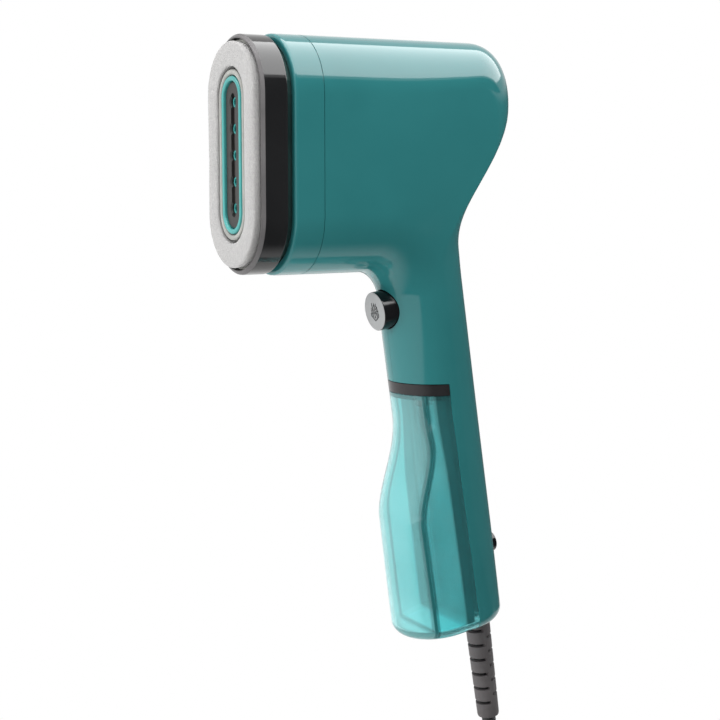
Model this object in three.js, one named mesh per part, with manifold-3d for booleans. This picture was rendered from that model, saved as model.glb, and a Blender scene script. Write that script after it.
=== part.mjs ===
// Handheld garment steamer: a rounded steam head on a leaning handle with a removable water tank.
// Millimetres. +Z is up, the steam face looks towards -Y, and X = 0 is the mid-plane.
// The origin is the middle of the hand grip. Pieces of the handle are placed in a group that leans with it.
import * as THREE from 'three';
import { mergeVertices } from 'three/addons/utils/BufferGeometryUtils.js';
import Module from 'manifold-3d';

const wasm = await Module();
wasm.setup();

// ---------------------------------------------------------------- driving dimensions

// Clearances
const TOUCH = 0.3; // between pieces that touch
const SLIDE = 0.4; // round pieces that slide

// Head: an upright stadium section drawn out along Y
const HEAD_WIDTH = 49;
const HEAD_HEIGHT = 96.1;
const HEAD_CENTRE_Z = 83.05;
const HEAD_FRONT_Y = -76.3;
const HEAD_BACK_Y = 34.6; // furthest point of the back
const HEAD_BACK_Z = 108; // height of that point
const CROWN_END_Y = 17.5; // where the straight top edge starts to round over
const CROWN_PULL = 12; // reach of the curve from the crown, and of the next ones at the back and the nape
const BACK_PULL = [12, 18];
const NAPE_PULL = 25;
const COLLAR_LENGTH = 13;
const COLLAR_LIP = 3.5; // front wall of the collar, round its neck opening
const SHELL_WALL = 2.2;

// Handle
const LEAN = THREE.MathUtils.degToRad(8.5);
const GRIP_DEPTH = 37;
const GRIP_WIDTH = 36.4;
const FILLET_RADIUS = 13.2; // inside corner under the head
const NAPE_Z = 46; // where the back of the head has run into the handle
const HANDLE_LENGTH = 123.6; // from the grip's middle to its lower end, along the handle
const HANDLE_END_WIDTH = 40.4;
const HANDLE_END_ROUND = 5.5;

// Water tank, in the handle's own frame
const BAND_TOP_Z = -12.6; // level edge where the tank starts, in the upright frame
const BAND_HEIGHT = 5;
const SPLIT_Y = -2; // tank in front, handle spine behind
const TANK_NECK = [-18.5, -27]; // y and z of the waist under the band
const TANK_BELLY = [-31.5, -70.5]; // y and z of the fullest point
const TANK_FOOT_Y = -32;
const NECK_PULL = [8, 6, 14]; // reach of the front curve from the band, to the neck and from it
const BELLY_PULL = [14, 8];
const FOOT_PULL = 20;
const TANK_WALL = 1.8;
const TANK_FLOOR = 4.6;
const WELD_TOP_Y = -12.2;
const WELD_BELLY_Y = -22.2;
const WELD_RISE = 7.6; // fullest point of the weld above that of the tank
const WELD_PULL = 12;
const SPIGOT = [-7.5, -6.5]; // x and y of the water outlet
const SPIGOT_RADIUS = 2.6;
const SPIGOT_HEIGHT = 8; // above the lid, inside the socket
const SEAL_THICKNESS = 0.7;
const SEAL_HEIGHT = 2;
const SEAL_DEPTH = 1.5; // below the spigot's end
const SOCKET_WALL = 1; // outside the seal's groove
const SOCKET_CLIP = [4.6, 1.4]; // height of the socket's flange over the band, and its thickness
const SOCKET_CLIP_RIM = 0.8;
const FITTING_BORE = 0.9; // through the socket's barb and the chamber's inlet
const SPIGOT_REACH = 16; // spigot's foot below the band's upper edge
const SUCTION_RADIUS = 2;
const SUCTION_BORE = 1.1;
const SUCTION_GAP = 3; // under the suction tube
const FILLER = [6.5, -8.2]; // x and y of the filling hole
const FILLER_RADIUS = 3.9;
const FILLER_LENGTH = 11.2;
const FILLER_PROUD = 2.2;
const FILLER_GAP = 1; // round it in the handle

// Steam face
const BEZEL_GAP = 2.6; // shadow gap between bezel and collar
const BEZEL_DEPTH = 11.2;
const BEZEL_RIM = 1.7;
const BEZEL_INSET = 0.7; // inside the head's outline
const BEZEL_FLOOR = 2.2;
const POCKET_DEPTH = 3.8;
const PAD_PROUD = 3.3;
const PAD_THICKNESS = 4.8;
const PAD_MARGIN = [3.4, 3.5]; // from the nozzle's rim to the pad's opening
const PAD_FRAME_THICKNESS = 1.5;
const PAD_FRAME_LIP = 0.8; // shows inside the pad's opening
const PAD_FRAME_RIM = 0.3; // shows outside the pad
const NOZZLE_INSET = [15.8, 17]; // from the head's outline to the nozzle's rim
const NOZZLE_RIM_WALL = 2;
const NOZZLE_FLANGE = 3.5; // behind the bezel, outside the rim
const NOZZLE_RECESS = 0.95; // rim behind the pad's face
const PLATE_RECESS = 1.1; // steam plate behind the rim
const STEAM_HOLES = 5;
const STEAM_HOLE_PITCH = 10.4;
const STEAM_HOLE_RADIUS = 2.4;
const NOZZLE_BORE = 1.4;
const GROOVE_WIDTH = 3.4;
const GROOVE_DEPTH = 1.2;
const FACE_SCREW_INSET = 3.8; // from the frame's outline to the screws' axes

// Steam generator
const FRAME_WALL = 2;
const FRAME_OVERLAP = 14; // along the chamber
const FRAME_STOP = [1.3, 2]; // rim behind the collar's front wall: height and thickness
const FACE_BOSS_LENGTH = 9;
const HOOK_WIDTH = 10;
const HOOK_BITE = 3; // behind the chamber
const HOOK_THICKNESS = 2;
const FLANGE_THICKNESS = 1.5; // of the nozzle ring's flange and of the frame's front
const CHAMBER_ROOM = [2.7, 5.35]; // between the frame's wall and the chamber
const CHAMBER_LENGTH = 20;
const CHAMBER_WALL = 4;
const CHAMBER_CAVITY = 6;
const COVER_THICKNESS = 2;
const GASKET_THICKNESS = 1.2;
const ELEMENT_RADIUS = 2.8;
const ELEMENT_SPREAD = 10.5; // half distance of its legs
const ELEMENT_RISE = 11.5; // arc centre above the chamber's middle
const ELEMENT_LEG = 37;
const ELEMENT_DEPTH = 0.4; // under the chamber's back
const ELEMENT_ENDS = [14, 9, 2.4]; // reach of its ends behind the chamber and of their bend
const ELEMENT_STRAIGHT = [9, 18]; // straight part of a leg over its foot
const INLET_RADIUS = 2.2;
const INLET_FLANGE = 4;
const INLET_FLANGE_DEPTH = 1.5;
const THERMOSTAT_RADIUS = 6.6;
const THERMOSTAT_RIM = 1;
const THERMOSTAT_STEPS = [2, 7]; // height of its rim and of its top
const FUSE_RADIUS = 2;
const FUSE_LENGTH = 10;
const FITTING_GAP = 2; // between the fittings on the chamber's back

// Pump and hoses
const PUMP_RADIUS = 6.2;
const PUMP_LENGTH = 42;
const NOZZLE_LENGTH = 6;
const NOZZLE_RADIUS = 1.5;
const HOSE_RADIUS = 2.8;
const HOSE_BORE = 1.9;
const COIL_SIZE = 24;
const COIL_SETBACK = 10; // behind the pump's front
const BRACKET_THICKNESS = 1.4;
const HOSE_LEAD = [4, 2.5]; // straight over the socket's shoulder, and past its barb
const HOSE_HANDLE = [-8, -2.6, -1.4]; // x in the handle, y over the socket and y at the trigger
const HOSE_OFFSET = 9.2; // height over the socket where it has moved aside
const HOSE_BENDS = [ // x and y, with the depth below the pump's axis
  [-7, -2, 58],
  [-6, 2.5, 46],
  [-4, 6.2, 34],
  [-1.5, 11, 23],
  [0, 15.2, 14],
  [0, 17, 7],
  [0, 15, 1.3],
];
const HOSE_END = [3, 4]; // past the pump's barb, and over it

// Electronics
const BOARD = [1.6, 40, 28];
const BOARD_X = 14.2;
const BOARD_SETBACK = 15; // behind the chamber
const BOARD_RISE = 12; // over the head's underside
const CAPACITOR = [4, 13]; // radius and length
const CAPACITOR_PLACE = [32, 19]; // on the board, from its front and its bottom
const RELAY = [10, 15, 13];
const RELAY_PLACE = [8, 5];
const RIB_THICKNESS = 2;
const RIB_OVERLAP = 5; // of the ribs with the coil, from its ends
const RIB_HALF = 9; // half height of the ribs at the pump and at the switch
const BOARD_RIB = [3, 22]; // from the board's bottom: low and high end of its ribs
const BOARD_RIB_INSET = [4, 10]; // from the board's front and back

// Trigger and power button
const TRIGGER_RADIUS = 8.3;
const TRIGGER_Z = 21.6;
const TRIGGER_PROUD = 4.9;
const TRIGGER_FLANGE = 9.6;
const TRIGGER_FLANGE_THICKNESS = 1.4;
const TRIGGER_EDGE = 0.5; // bevel round its face
const TRIGGER_SKIN = 2; // behind its face
const TRIGGER_PIN = 2.2; // radius of the pin inside the spring
const TRIGGER_TRAVEL = 2.5;
const SPRING_RADIUS = 5.4;
const SPRING_WIRE = 0.35;
const SPRING_TURNS = 4;
const SPRING_ROOM = 1.2; // round the spring in the trigger
const SEAT_THICKNESS = 1.5;
const SEAT_HALF = 8;
const SWITCH_SIZE = [6.4, 10, 20];
const SWITCH_RIB = 2; // setback of its rib
const PLUNGER_RADIUS = 1.4;
const POWER_RADIUS = 4.6;
const POWER_HEIGHT = 30.6; // over the handle's end
const POWER_PROUD = 3.4;
const POWER_TRAVEL = 1;
const POWER_FLANGE_RIM = 1;
const POWER_FLANGE_THICKNESS = 1.2;
const POWER_SWITCH_SIZE = [9, 6, 12];
const POWER_RIB = [4, 5]; // setback and half height of the ribs at its switch

// Mains lead
const CORD_RADIUS = 3.2;
const CORD_Y = 9;
const RELIEF_LENGTH = 50;
const RELIEF_RADIUS = 5.6;
const RELIEF_TIP_RADIUS = 4.9;
const RELIEF_SLOT = 1.6;
const RELIEF_PITCH = 3.5;
const RELIEF_FIRST_SLOT = 7;
const RELIEF_SLOTS = 11;
const RELIEF_NECK = 5; // radius in the housing's hole
const RELIEF_FLANGE_RIM = 0.5;
const RELIEF_FLANGE_THICKNESS = 2;
const RELIEF_SPINE = 0.6; // of the sleeve's middle that the slots leave
const CLAMP_HEIGHT = 12.6; // over the handle's end
const CLAMP_THICKNESS = 3;
const CLAMP_HALF = 3; // half height of its bar
const CLAMP_SPREAD = [2.4, 1.5]; // from the lead to the screw's axis and to the rest post's
const CLAMP_POSTS = [2.1, 1.2]; // radii of the two posts
const CLAMP_SCREW_LENGTH = 8;
const LEAD_OVER_CLAMP = 4;
const WIRES_RADIUS = 1.5;
const WIRES_START = [1.2, 2.2, 4]; // rise over the lead's end, then sideways and rise of the next point
const WIRES_POWER = [3.6, 3.5, 2.4, 2, 8]; // y and rise under the switch, y behind it, reach below and above
const WIRES_HANDLE = [ // bends in the handle
  [0, 2.4, -62],
  [2, 3, -30],
  [6, 3, 0],
  [8, 4, 21.6],
];
const WIRES_BOARD = [ // last bends: x, y and height over the board's bottom
  [10, -4, -6],
  [12, -8, 1],
];

// Lead put away as a hank under the steamer
const HANK_DROP = 34.3; // from the sleeve's tip to the hank's top
const HANK_RUN = 100;
const HANK_Y = 36.5;
const HANK_LAYERS = 3;
const HANK_WAIST = 13.1;
const HANK_PLAY = 0.2; // over the layers of cord
const HANK_PULL = [18, 32]; // heights of the outline's curve from the tie to the folds
const FOLD_RADIUS = 25.6; // of the cord's line: four of its diameters
const FREE_BENDS = [ // bends below the sleeve: x, y and z from its tip
  [0, 0.6, -4],
  [0, 1.1, -9],
  [-0.6, 0.9, -15],
  [-2.2, -0.4, -22],
  [-4.8, -2.2, -28],
];
const FREE_END_X = -7.6;
const FREE_END_RISE = 1.4; // over the hank
const TIE_WALL = 1.6;
const TIE_HEIGHT = 12;
const TIE_PLAY = 1.2;
const TAIL_LENGTH = 12;
const PLUG_LENGTH = 36;
const PLUG_RADIUS = 17.5;
const PLUG_DEPTH = 24.5;
const PLUG_COLLAR = [1.4, 2.6, 12]; // outside the cord at its top and at its foot, and its length
const PLUG_SHOULDER = [12.25, 16]; // radius and depth where it widens
const PLUG_CHEEK = [16.6, 22];
const PLUG_EDGE = [1.5, 2];
const PIN_LENGTH = 19;
const PIN_ROOT = 5.5; // inside the plug
const PIN_RADIUS = 2.4;
const PIN_TIP = [0.8, 1.5]; // bevel: in and along
const PIN_SPACING = 19;

// Screws
const SCREW_SHANK = 1.4;
const SCREW_HEAD = 2.8;
const SCREW_HEAD_HEIGHT = 1.7;
const SCREW_SEAT_X = -8; // plane where the heads of the housing's screws bear
const CROWN_SCREW = [19, 18.8]; // y, and depth under the head's top
const BROW_SCREW = [-46, 9.8];
const CHIN_SCREW = [-46, 7.5]; // y, and height over the head's underside
const GRIP_SCREW = [11.5, 2]; // y and z in the handle
const SPINE_SCREW = [10.2, -62];
const PILOT_DEPTH = 12;
const PILOT_SPARE = 2; // beyond the screw's end
const BOSS_RADIUS = 3.6;
const SEAT_WALL = 1.6; // round a screw head
const FACE_SCREW_LENGTH = 9;

// ---------------------------------------------------------------- derived places

const HEAD_TOP = HEAD_CENTRE_Z + HEAD_HEIGHT / 2;
const HEAD_BOTTOM = HEAD_CENTRE_Z - HEAD_HEIGHT / 2;
const SEAM_Y = HEAD_FRONT_Y + COLLAR_LENGTH;
const GRIP_FRONT = -GRIP_DEPTH / 2;
const GRIP_BACK = GRIP_DEPTH / 2;
const WIDE = 60; // half width of the tools that cut right through
const FAR = 200; // and their reach in the other directions

const headInset = (inset) => [HEAD_WIDTH, HEAD_HEIGHT].map((size, i) => size - 2 * (inset[i] ?? inset));
const NOZZLE_RIM = headInset(NOZZLE_INSET);
const PAD_OPENING = NOZZLE_RIM.map((size, i) => size + 2 * PAD_MARGIN[i]);
const FRAME_SIZE = headInset(COLLAR_LIP + TOUCH);
const CHAMBER_SIZE = FRAME_SIZE.map((size, i) => size - 2 * (FRAME_WALL + CHAMBER_ROOM[i]));
const FACE_SCREW_Z = FRAME_SIZE[1] / 2 - FACE_SCREW_INSET; // above and below the head's middle

const BEZEL_BACK = HEAD_FRONT_Y - BEZEL_GAP;
const BEZEL_FRONT = BEZEL_BACK - BEZEL_DEPTH;
const POCKET_Y = BEZEL_FRONT + POCKET_DEPTH;
const BEZEL_FLOOR_BACK = POCKET_Y + BEZEL_FLOOR;
const PAD_FRONT = BEZEL_FRONT - PAD_PROUD;
const PAD_BACK = PAD_FRONT + PAD_THICKNESS;
const RIM_FRONT = PAD_FRONT + NOZZLE_RECESS;
const PLATE_FRONT = RIM_FRONT + PLATE_RECESS;
const FLANGE_FRONT = BEZEL_FLOOR_BACK + TOUCH;
const FLANGE_BACK = FLANGE_FRONT + FLANGE_THICKNESS;
const COVER_FRONT = FLANGE_BACK + TOUCH;
const COVER_BACK = COVER_FRONT + COVER_THICKNESS;
const GASKET_FRONT = COVER_BACK + TOUCH;
const GASKET_BACK = GASKET_FRONT + GASKET_THICKNESS;
const CHAMBER_FRONT = GASKET_BACK + TOUCH;
const CHAMBER_BACK = CHAMBER_FRONT + CHAMBER_LENGTH;
const INLET_Z = HEAD_CENTRE_Z + ELEMENT_RISE;
const POWER_Z = -(HANDLE_LENGTH - POWER_HEIGHT);
const CLAMP_Z = -(HANDLE_LENGTH - CLAMP_HEIGHT);

// ---------------------------------------------------------------- tools

const steamer = new THREE.Group();
const handle = new THREE.Group();
handle.rotation.x = LEAN;
steamer.add(handle);

const finish = (color, roughness, metalness = 0, more = {}) =>
  new THREE.MeshStandardMaterial({ color, roughness, metalness, ...more });

const TEAL = finish('#2f8480', 0.22);
const BLACK_GLOSS = finish('#1c1b1d', 0.15);
const BLACK_MATT = finish('#2b2a2b', 0.6);
const GREY = finish('#6d6c6c', 0.55);
const FABRIC = finish('#d3d1d0', 0.95);
const TANK = finish('#5fc2bd', 0.08, 0, { transparent: true, opacity: 0.5 });
const CLEAR_RUBBER = finish('#c9c4ba', 0.5);
const ALUMINIUM = finish('#b8babd', 0.4, 1);
const STEEL = finish('#9b9da0', 0.35, 1);
const BRASS = finish('#b58a3c', 0.35, 1);
const COPPER = finish('#a8562a', 0.4, 1);
const BOARD_GREEN = finish('#22573a', 0.5);
const RUBBER = finish('#3c3b3d', 0.7);

// A closed manifold solid from a three.js geometry.
function solid(geometry) {
  const bare = new THREE.BufferGeometry();
  bare.setAttribute('position', geometry.getAttribute('position').clone());
  if (geometry.index) bare.setIndex(geometry.index.clone());
  const merged = mergeVertices(bare, 1e-4);
  const vertProperties = new Float32Array(merged.getAttribute('position').array);
  const triVerts = new Uint32Array(merged.index.array);
  return new wasm.Manifold(new wasm.Mesh({ numProp: 3, vertProperties, triVerts }));
}

// A three.js geometry from a manifold solid.
function geometryOf(body) {
  const { vertProperties, triVerts } = body.getMesh();
  const geometry = new THREE.BufferGeometry();
  geometry.setAttribute('position', new THREE.BufferAttribute(new Float32Array(vertProperties), 3));
  geometry.setIndex(new THREE.BufferAttribute(new Uint32Array(triVerts), 1));
  geometry.computeVertexNormals();
  return geometry;
}

const cut = (body, ...tools) => tools.reduce((rest, tool) => rest.subtract(tool), body);
const join = (first, ...more) => more.reduce((all, next) => all.add(next), first);

function part(name, shape, material, parent = steamer) {
  const geometry = shape.isBufferGeometry ? shape : geometryOf(shape);
  const mesh = new THREE.Mesh(geometry, material);
  mesh.name = name;
  parent.add(mesh);
  return mesh;
}

// Closed box between two corners.
function box(low, high) {
  const size = high.map((value, i) => value - low[i]);
  const geometry = new THREE.BoxGeometry(...size);
  geometry.translate(...low.map((value, i) => value + size[i] / 2));
  return geometry;
}

const AXIS_TURN = {
  x: new THREE.Matrix4().makeRotationY(Math.PI / 2),
  y: new THREE.Matrix4().makeRotationX(-Math.PI / 2),
  z: new THREE.Matrix4(),
};

// Solid of revolution: [radius, distance along the axis] pairs, from the axis and back to it.
function turned(profile, axis = 'z', at = [0, 0, 0], sides = 16) {
  const points = profile.map(([radius, along]) => new THREE.Vector2(radius, along));
  if (THREE.ShapeUtils.area(points) < 0) points.reverse();
  const geometry = new THREE.LatheGeometry(points, sides);
  geometry.rotateX(Math.PI / 2);
  geometry.applyMatrix4(AXIS_TURN[axis]);
  geometry.translate(...at);
  return geometry;
}

const rod = (radius, from, to, axis, at, sides) =>
  turned([[0, from], [radius, from], [radius, to], [0, to]], axis, at, sides);

const pipe = (outer, inner, from, to, axis, at, sides) =>
  turned([[inner, from], [outer, from], [outer, to], [inner, to], [inner, from]], axis, at, sides);

// Upright stadium outline in X and Z, round its own middle.
function stadium(width, height, holes = []) {
  const radius = width / 2;
  const straight = height / 2 - radius;
  const shape = new THREE.Shape();
  shape.moveTo(radius, -straight);
  shape.lineTo(radius, straight);
  shape.absarc(0, straight, radius, 0, Math.PI, false);
  shape.lineTo(-radius, -straight);
  shape.absarc(0, -straight, radius, Math.PI, 2 * Math.PI, false);
  shape.holes.push(...holes);
  return shape;
}

const CURVE_STEPS = 6;

// Outline in X and Z drawn out along Y, from front to back, at height z.
function alongY(shape, front, back, z = HEAD_CENTRE_Z) {
  const geometry = new THREE.ExtrudeGeometry(shape, {
    depth: back - front,
    bevelEnabled: false,
    curveSegments: CURVE_STEPS,
  });
  geometry.rotateX(Math.PI / 2);
  geometry.translate(0, back, z);
  return geometry;
}

// Outline in Y and Z drawn out along X.
function alongX(shape, from, to) {
  const geometry = new THREE.ExtrudeGeometry(shape, {
    depth: to - from,
    bevelEnabled: false,
    curveSegments: CURVE_STEPS,
  });
  const turn = new THREE.Matrix4().makeBasis(
    new THREE.Vector3(0, 1, 0),
    new THREE.Vector3(0, 0, 1),
    new THREE.Vector3(1, 0, 0),
  );
  geometry.applyMatrix4(turn);
  geometry.translate(from, 0, 0);
  return geometry;
}

function polygon(points) {
  const shape = new THREE.Shape();
  points.forEach(([u, v], i) => (i ? shape.lineTo(u, v) : shape.moveTo(u, v)));
  shape.closePath();
  return shape;
}

// Round section drawn along a curve; a bore makes it a hose.
function drawn(curve, radius, steps, bore = 0, sides = 10) {
  const section = new THREE.Shape();
  section.absarc(0, 0, radius, 0, 2 * Math.PI, false);
  if (bore) {
    const hole = new THREE.Path();
    hole.absarc(0, 0, bore, 0, 2 * Math.PI, true);
    section.holes.push(hole);
  }
  return new THREE.ExtrudeGeometry(section, { steps, extrudePath: curve, curveSegments: sides / 2 });
}

const smoothCurve = (points) =>
  new THREE.CatmullRomCurve3(points.map((p) => new THREE.Vector3(...p)), false, 'centripetal');

// The handle's frame and the upright frame, for points given as [y, z].
const fromHandle = ([y, z]) => [
  y * Math.cos(LEAN) - z * Math.sin(LEAN),
  y * Math.sin(LEAN) + z * Math.cos(LEAN),
];

const inHandle = (x, y, z) => [x, ...fromHandle([y, z])];

function leaned(geometry) {
  return geometry.applyMatrix4(new THREE.Matrix4().makeRotationX(LEAN));
}

// ---------------------------------------------------------------- outer form of head and handle

const RING_STEPS = 8;

// Section across the form: a stadium between a front and a back point, each [y, z].
function ring(front, back, halfWidth, inset) {
  const length = Math.hypot(back[0] - front[0], back[1] - front[1]);
  const along = [(back[0] - front[0]) / length, (back[1] - front[1]) / length];
  const middle = [(front[0] + back[0]) / 2, (front[1] + back[1]) / 2];
  const half = length / 2 - inset;
  const width = halfWidth - inset;
  const radius = Math.min(width, half);
  const points = [];
  for (const side of [1, -1]) {
    for (let i = 0; i <= RING_STEPS; i++) {
      const turn = (Math.PI * i) / RING_STEPS;
      const u = side * (half - radius + radius * Math.sin(turn));
      const x = side * width * Math.cos(turn);
      points.push([x, middle[0] + u * along[0], middle[1] + u * along[1]]);
    }
  }
  return points;
}

// Closed skin over a row of sections.
function loft(rings) {
  const count = rings[0].length;
  const positions = rings.flat(2);
  const index = [];
  for (let i = 0; i < rings.length - 1; i++) {
    for (let j = 0; j < count; j++) {
      const a = i * count + j;
      const b = i * count + ((j + 1) % count);
      index.push(a, a + count, b, b, a + count, b + count);
    }
  }
  const last = (rings.length - 1) * count;
  for (let j = 1; j < count - 1; j++) {
    index.push(0, j, j + 1);
    index.push(last, last + j + 1, last + j);
  }
  const geometry = new THREE.BufferGeometry();
  geometry.setAttribute('position', new THREE.Float32BufferAttribute(positions, 3));
  geometry.setIndex(index);
  return geometry;
}

// Back edge of the side view: flat crown, round back, slope into the handle.
function backEdge() {
  const nape = fromHandle([GRIP_BACK, (NAPE_Z - GRIP_BACK * Math.sin(LEAN)) / Math.cos(LEAN)]);
  const edge = new THREE.Path();
  edge.moveTo(SEAM_Y, HEAD_TOP);
  edge.lineTo(CROWN_END_Y, HEAD_TOP);
  edge.bezierCurveTo(
    CROWN_END_Y + CROWN_PULL, HEAD_TOP,
    HEAD_BACK_Y, HEAD_BACK_Z + BACK_PULL[0],
    HEAD_BACK_Y, HEAD_BACK_Z,
  );
  edge.bezierCurveTo(
    HEAD_BACK_Y, HEAD_BACK_Z - BACK_PULL[1],
    nape[0] - NAPE_PULL * Math.sin(LEAN), nape[1] + NAPE_PULL * Math.cos(LEAN),
    nape[0], nape[1],
  );
  edge.lineTo(...fromHandle([GRIP_BACK, 0]));
  return edge.getPoints(24).map((p) => [p.x, p.y]);
}

// First crossing of a ray with an open outline.
function crossing(origin, angle, outline) {
  const [dy, dz] = [Math.cos(angle), Math.sin(angle)];
  for (let i = 0; i < outline.length - 1; i++) {
    const [ay, az] = outline[i];
    const [by, bz] = outline[i + 1];
    const side = (y, z) => dy * (z - origin[1]) - dz * (y - origin[0]);
    const [sa, sb] = [side(ay, az), side(by, bz)];
    const ahead = dy * (ay - origin[0]) + dz * (az - origin[1]) > 0;
    if (sa * sb > 0 || sa === sb || !ahead) continue;
    const share = sa / (sa - sb);
    return [ay + share * (by - ay), az + share * (bz - az)];
  }
  throw new Error('the back edge does not reach round the inside corner');
}

// Front edge of the tank in the handle's frame, from the band down to the foot.
function tankFront() {
  const foot = -(HANDLE_LENGTH - HANDLE_END_ROUND);
  const edge = new THREE.Path();
  edge.moveTo(GRIP_FRONT, BAND_TOP_Z);
  const [neckY, neckZ] = TANK_NECK;
  const [bellyY, bellyZ] = TANK_BELLY;
  edge.bezierCurveTo(GRIP_FRONT, BAND_TOP_Z - NECK_PULL[0], neckY, neckZ + NECK_PULL[1], neckY, neckZ);
  edge.bezierCurveTo(neckY, neckZ - NECK_PULL[2], bellyY, bellyZ + BELLY_PULL[0], bellyY, bellyZ);
  edge.bezierCurveTo(bellyY, bellyZ - BELLY_PULL[1], TANK_FOOT_Y, foot + FOOT_PULL, TANK_FOOT_Y, foot);
  return edge.getPoints(5).map((p) => [p.x, p.y]);
}

const smooth = (t) => t * t * (3 - 2 * t);
const FAN_STEPS = 16; // sections round the inside corner
const ROUND_STEPS = 3; // sections of the rounded end
const GRIP_SECTION_Z = 5; // last section before the band

// Sections of the whole form from the seam to the handle's end, set in by a wall thickness.
function bodySections(inset) {
  const corner = [0, HEAD_BOTTOM - FILLET_RADIUS];
  corner[0] = (GRIP_FRONT - FILLET_RADIUS - corner[1] * Math.sin(LEAN)) / Math.cos(LEAN);
  const start = inset ? SEAM_Y - 1 : SEAM_Y;
  const rings = [ring([start, HEAD_BOTTOM], [start, HEAD_TOP], HEAD_WIDTH / 2, inset)];
  const outline = backEdge();
  for (let i = 0; i <= FAN_STEPS; i++) {
    const share = i / FAN_STEPS;
    const angle = Math.PI / 2 + (LEAN - Math.PI / 2) * share;
    const front = [
      corner[0] + FILLET_RADIUS * Math.cos(angle),
      corner[1] + FILLET_RADIUS * Math.sin(angle),
    ];
    const half = THREE.MathUtils.lerp(HEAD_WIDTH, GRIP_WIDTH, smooth(share)) / 2;
    rings.push(ring(front, crossing(corner, angle, outline), half, inset));
  }
  const handleRing = (y, z, half, round = 0) =>
    rings.push(ring(fromHandle([y + round, z]), fromHandle([GRIP_BACK - round, z]), half - round, inset));
  handleRing(GRIP_FRONT, GRIP_SECTION_Z, GRIP_WIDTH / 2);
  const front = tankFront();
  const foot = front[front.length - 1][1];
  for (const [y, z] of front) {
    const down = smooth(Math.min(1, (z - BAND_TOP_Z) / (foot - BAND_TOP_Z)));
    handleRing(y, z, THREE.MathUtils.lerp(GRIP_WIDTH, HANDLE_END_WIDTH, down) / 2);
  }
  for (let i = 1; i <= ROUND_STEPS; i++) {
    const turn = (Math.PI / 2) * (i / ROUND_STEPS);
    const round = HANDLE_END_ROUND * (1 - Math.cos(turn));
    const depth = Math.max(0, HANDLE_END_ROUND - inset) * Math.sin(turn);
    handleRing(TANK_FOOT_Y, foot - depth, HANDLE_END_WIDTH / 2, round);
  }
  return rings;
}

const BODY_OUTSIDE = solid(loft(bodySections(0)));
const BODY_INSIDE = solid(loft(bodySections(SHELL_WALL)));
const TANK_INSIDE = solid(loft(bodySections(TANK_WALL)));

// Side view of the room for the tank: in front of the split and under the band's level.
function tankRoom(grow, top = BAND_TOP_Z) {
  const level = top + grow;
  const split = SPLIT_Y + grow;
  const [far, low] = [-FAR, -FAR];
  const onSplit = (z) => (split - z * Math.sin(LEAN)) / Math.cos(LEAN);
  return polygon([
    [far, low],
    [onSplit(low), low],
    [onSplit(level), level],
    [far, level],
  ]);
}

const roomSolid = (grow, top) => solid(alongX(tankRoom(grow, top), -WIDE, WIDE));

// ---------------------------------------------------------------- housing

// Screw places on the mid-plane, [y, z] in the upright frame.
const SCREW_PLACES = {
  crown: [CROWN_SCREW[0], HEAD_TOP - CROWN_SCREW[1]],
  brow: [BROW_SCREW[0], HEAD_TOP - BROW_SCREW[1]],
  chin: [CHIN_SCREW[0], HEAD_BOTTOM + CHIN_SCREW[1]],
  grip: fromHandle(GRIP_SCREW),
  spine: fromHandle(SPINE_SCREW),
};
const SEAT_BOSS_RADIUS = SCREW_HEAD + SLIDE + SEAT_WALL;

// Fittings between the tank and the handle
const SEAL_INSIDE = SPIGOT_RADIUS + TOUCH;
const SEAL_OUTSIDE = SEAL_INSIDE + SEAL_THICKNESS;
const SOCKET_RADIUS = SEAL_OUTSIDE + TOUCH + SOCKET_WALL;
const SOCKET_FOOT = BAND_TOP_Z + 2;
const SPIGOT_TOP = BAND_TOP_Z + SPIGOT_HEIGHT;
const SOCKET_BOTTOM = SPIGOT_TOP + 1; // blind end over the spigot
const SOCKET_SHOULDER = SOCKET_BOTTOM + 2;
const SOCKET_TOP = SOCKET_SHOULDER + NOZZLE_LENGTH;

// Trigger, its spring's seat and the switch behind it, along the handle's Y
const wallInside = (half) => Math.sqrt((GRIP_WIDTH / 2 - SHELL_WALL) ** 2 - half ** 2);
const TRIGGER_FACE = GRIP_FRONT - TRIGGER_PROUD;
const TRIGGER_STEP = GRIP_FRONT + GRIP_WIDTH / 2 - wallInside(TRIGGER_FLANGE) + 2 * SLIDE;
const TRIGGER_BACK = TRIGGER_STEP + TRIGGER_FLANGE_THICKNESS;
const TRIGGER_WELL = TRIGGER_FACE + TRIGGER_SKIN;
const SEAT_FRONT = TRIGGER_BACK + TRIGGER_TRAVEL + SLIDE;
const SWITCH_FRONT = SEAT_FRONT + SEAT_THICKNESS + TOUCH;

// Power button and its switch
const POWER_FLANGE = POWER_RADIUS + POWER_FLANGE_RIM;
const FOOT_INSIDE = HANDLE_END_WIDTH / 2 - SHELL_WALL;
const FOOT_WALL_Y = GRIP_BACK - HANDLE_END_WIDTH / 2 + Math.sqrt(FOOT_INSIDE ** 2 - POWER_FLANGE ** 2);
const POWER_STEP = FOOT_WALL_Y - 1.5 * SLIDE;
const POWER_BACK = POWER_STEP - POWER_FLANGE_THICKNESS;
const POWER_SWITCH_BACK = POWER_BACK - POWER_TRAVEL - SLIDE;

// Lead's way out through the foot
const RELIEF_FLANGE = RELIEF_RADIUS + RELIEF_FLANGE_RIM;
const RELIEF_TOP = -HANDLE_LENGTH + SHELL_WALL + TOUCH;
const CLAMP_FACE_X = CORD_RADIUS + TOUCH;
const CLAMP_SCREW_Y = CORD_Y - CORD_RADIUS - CLAMP_SPREAD[0];
const CLAMP_REST_Y = CORD_Y + CORD_RADIUS + CLAMP_SPREAD[1];

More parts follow.
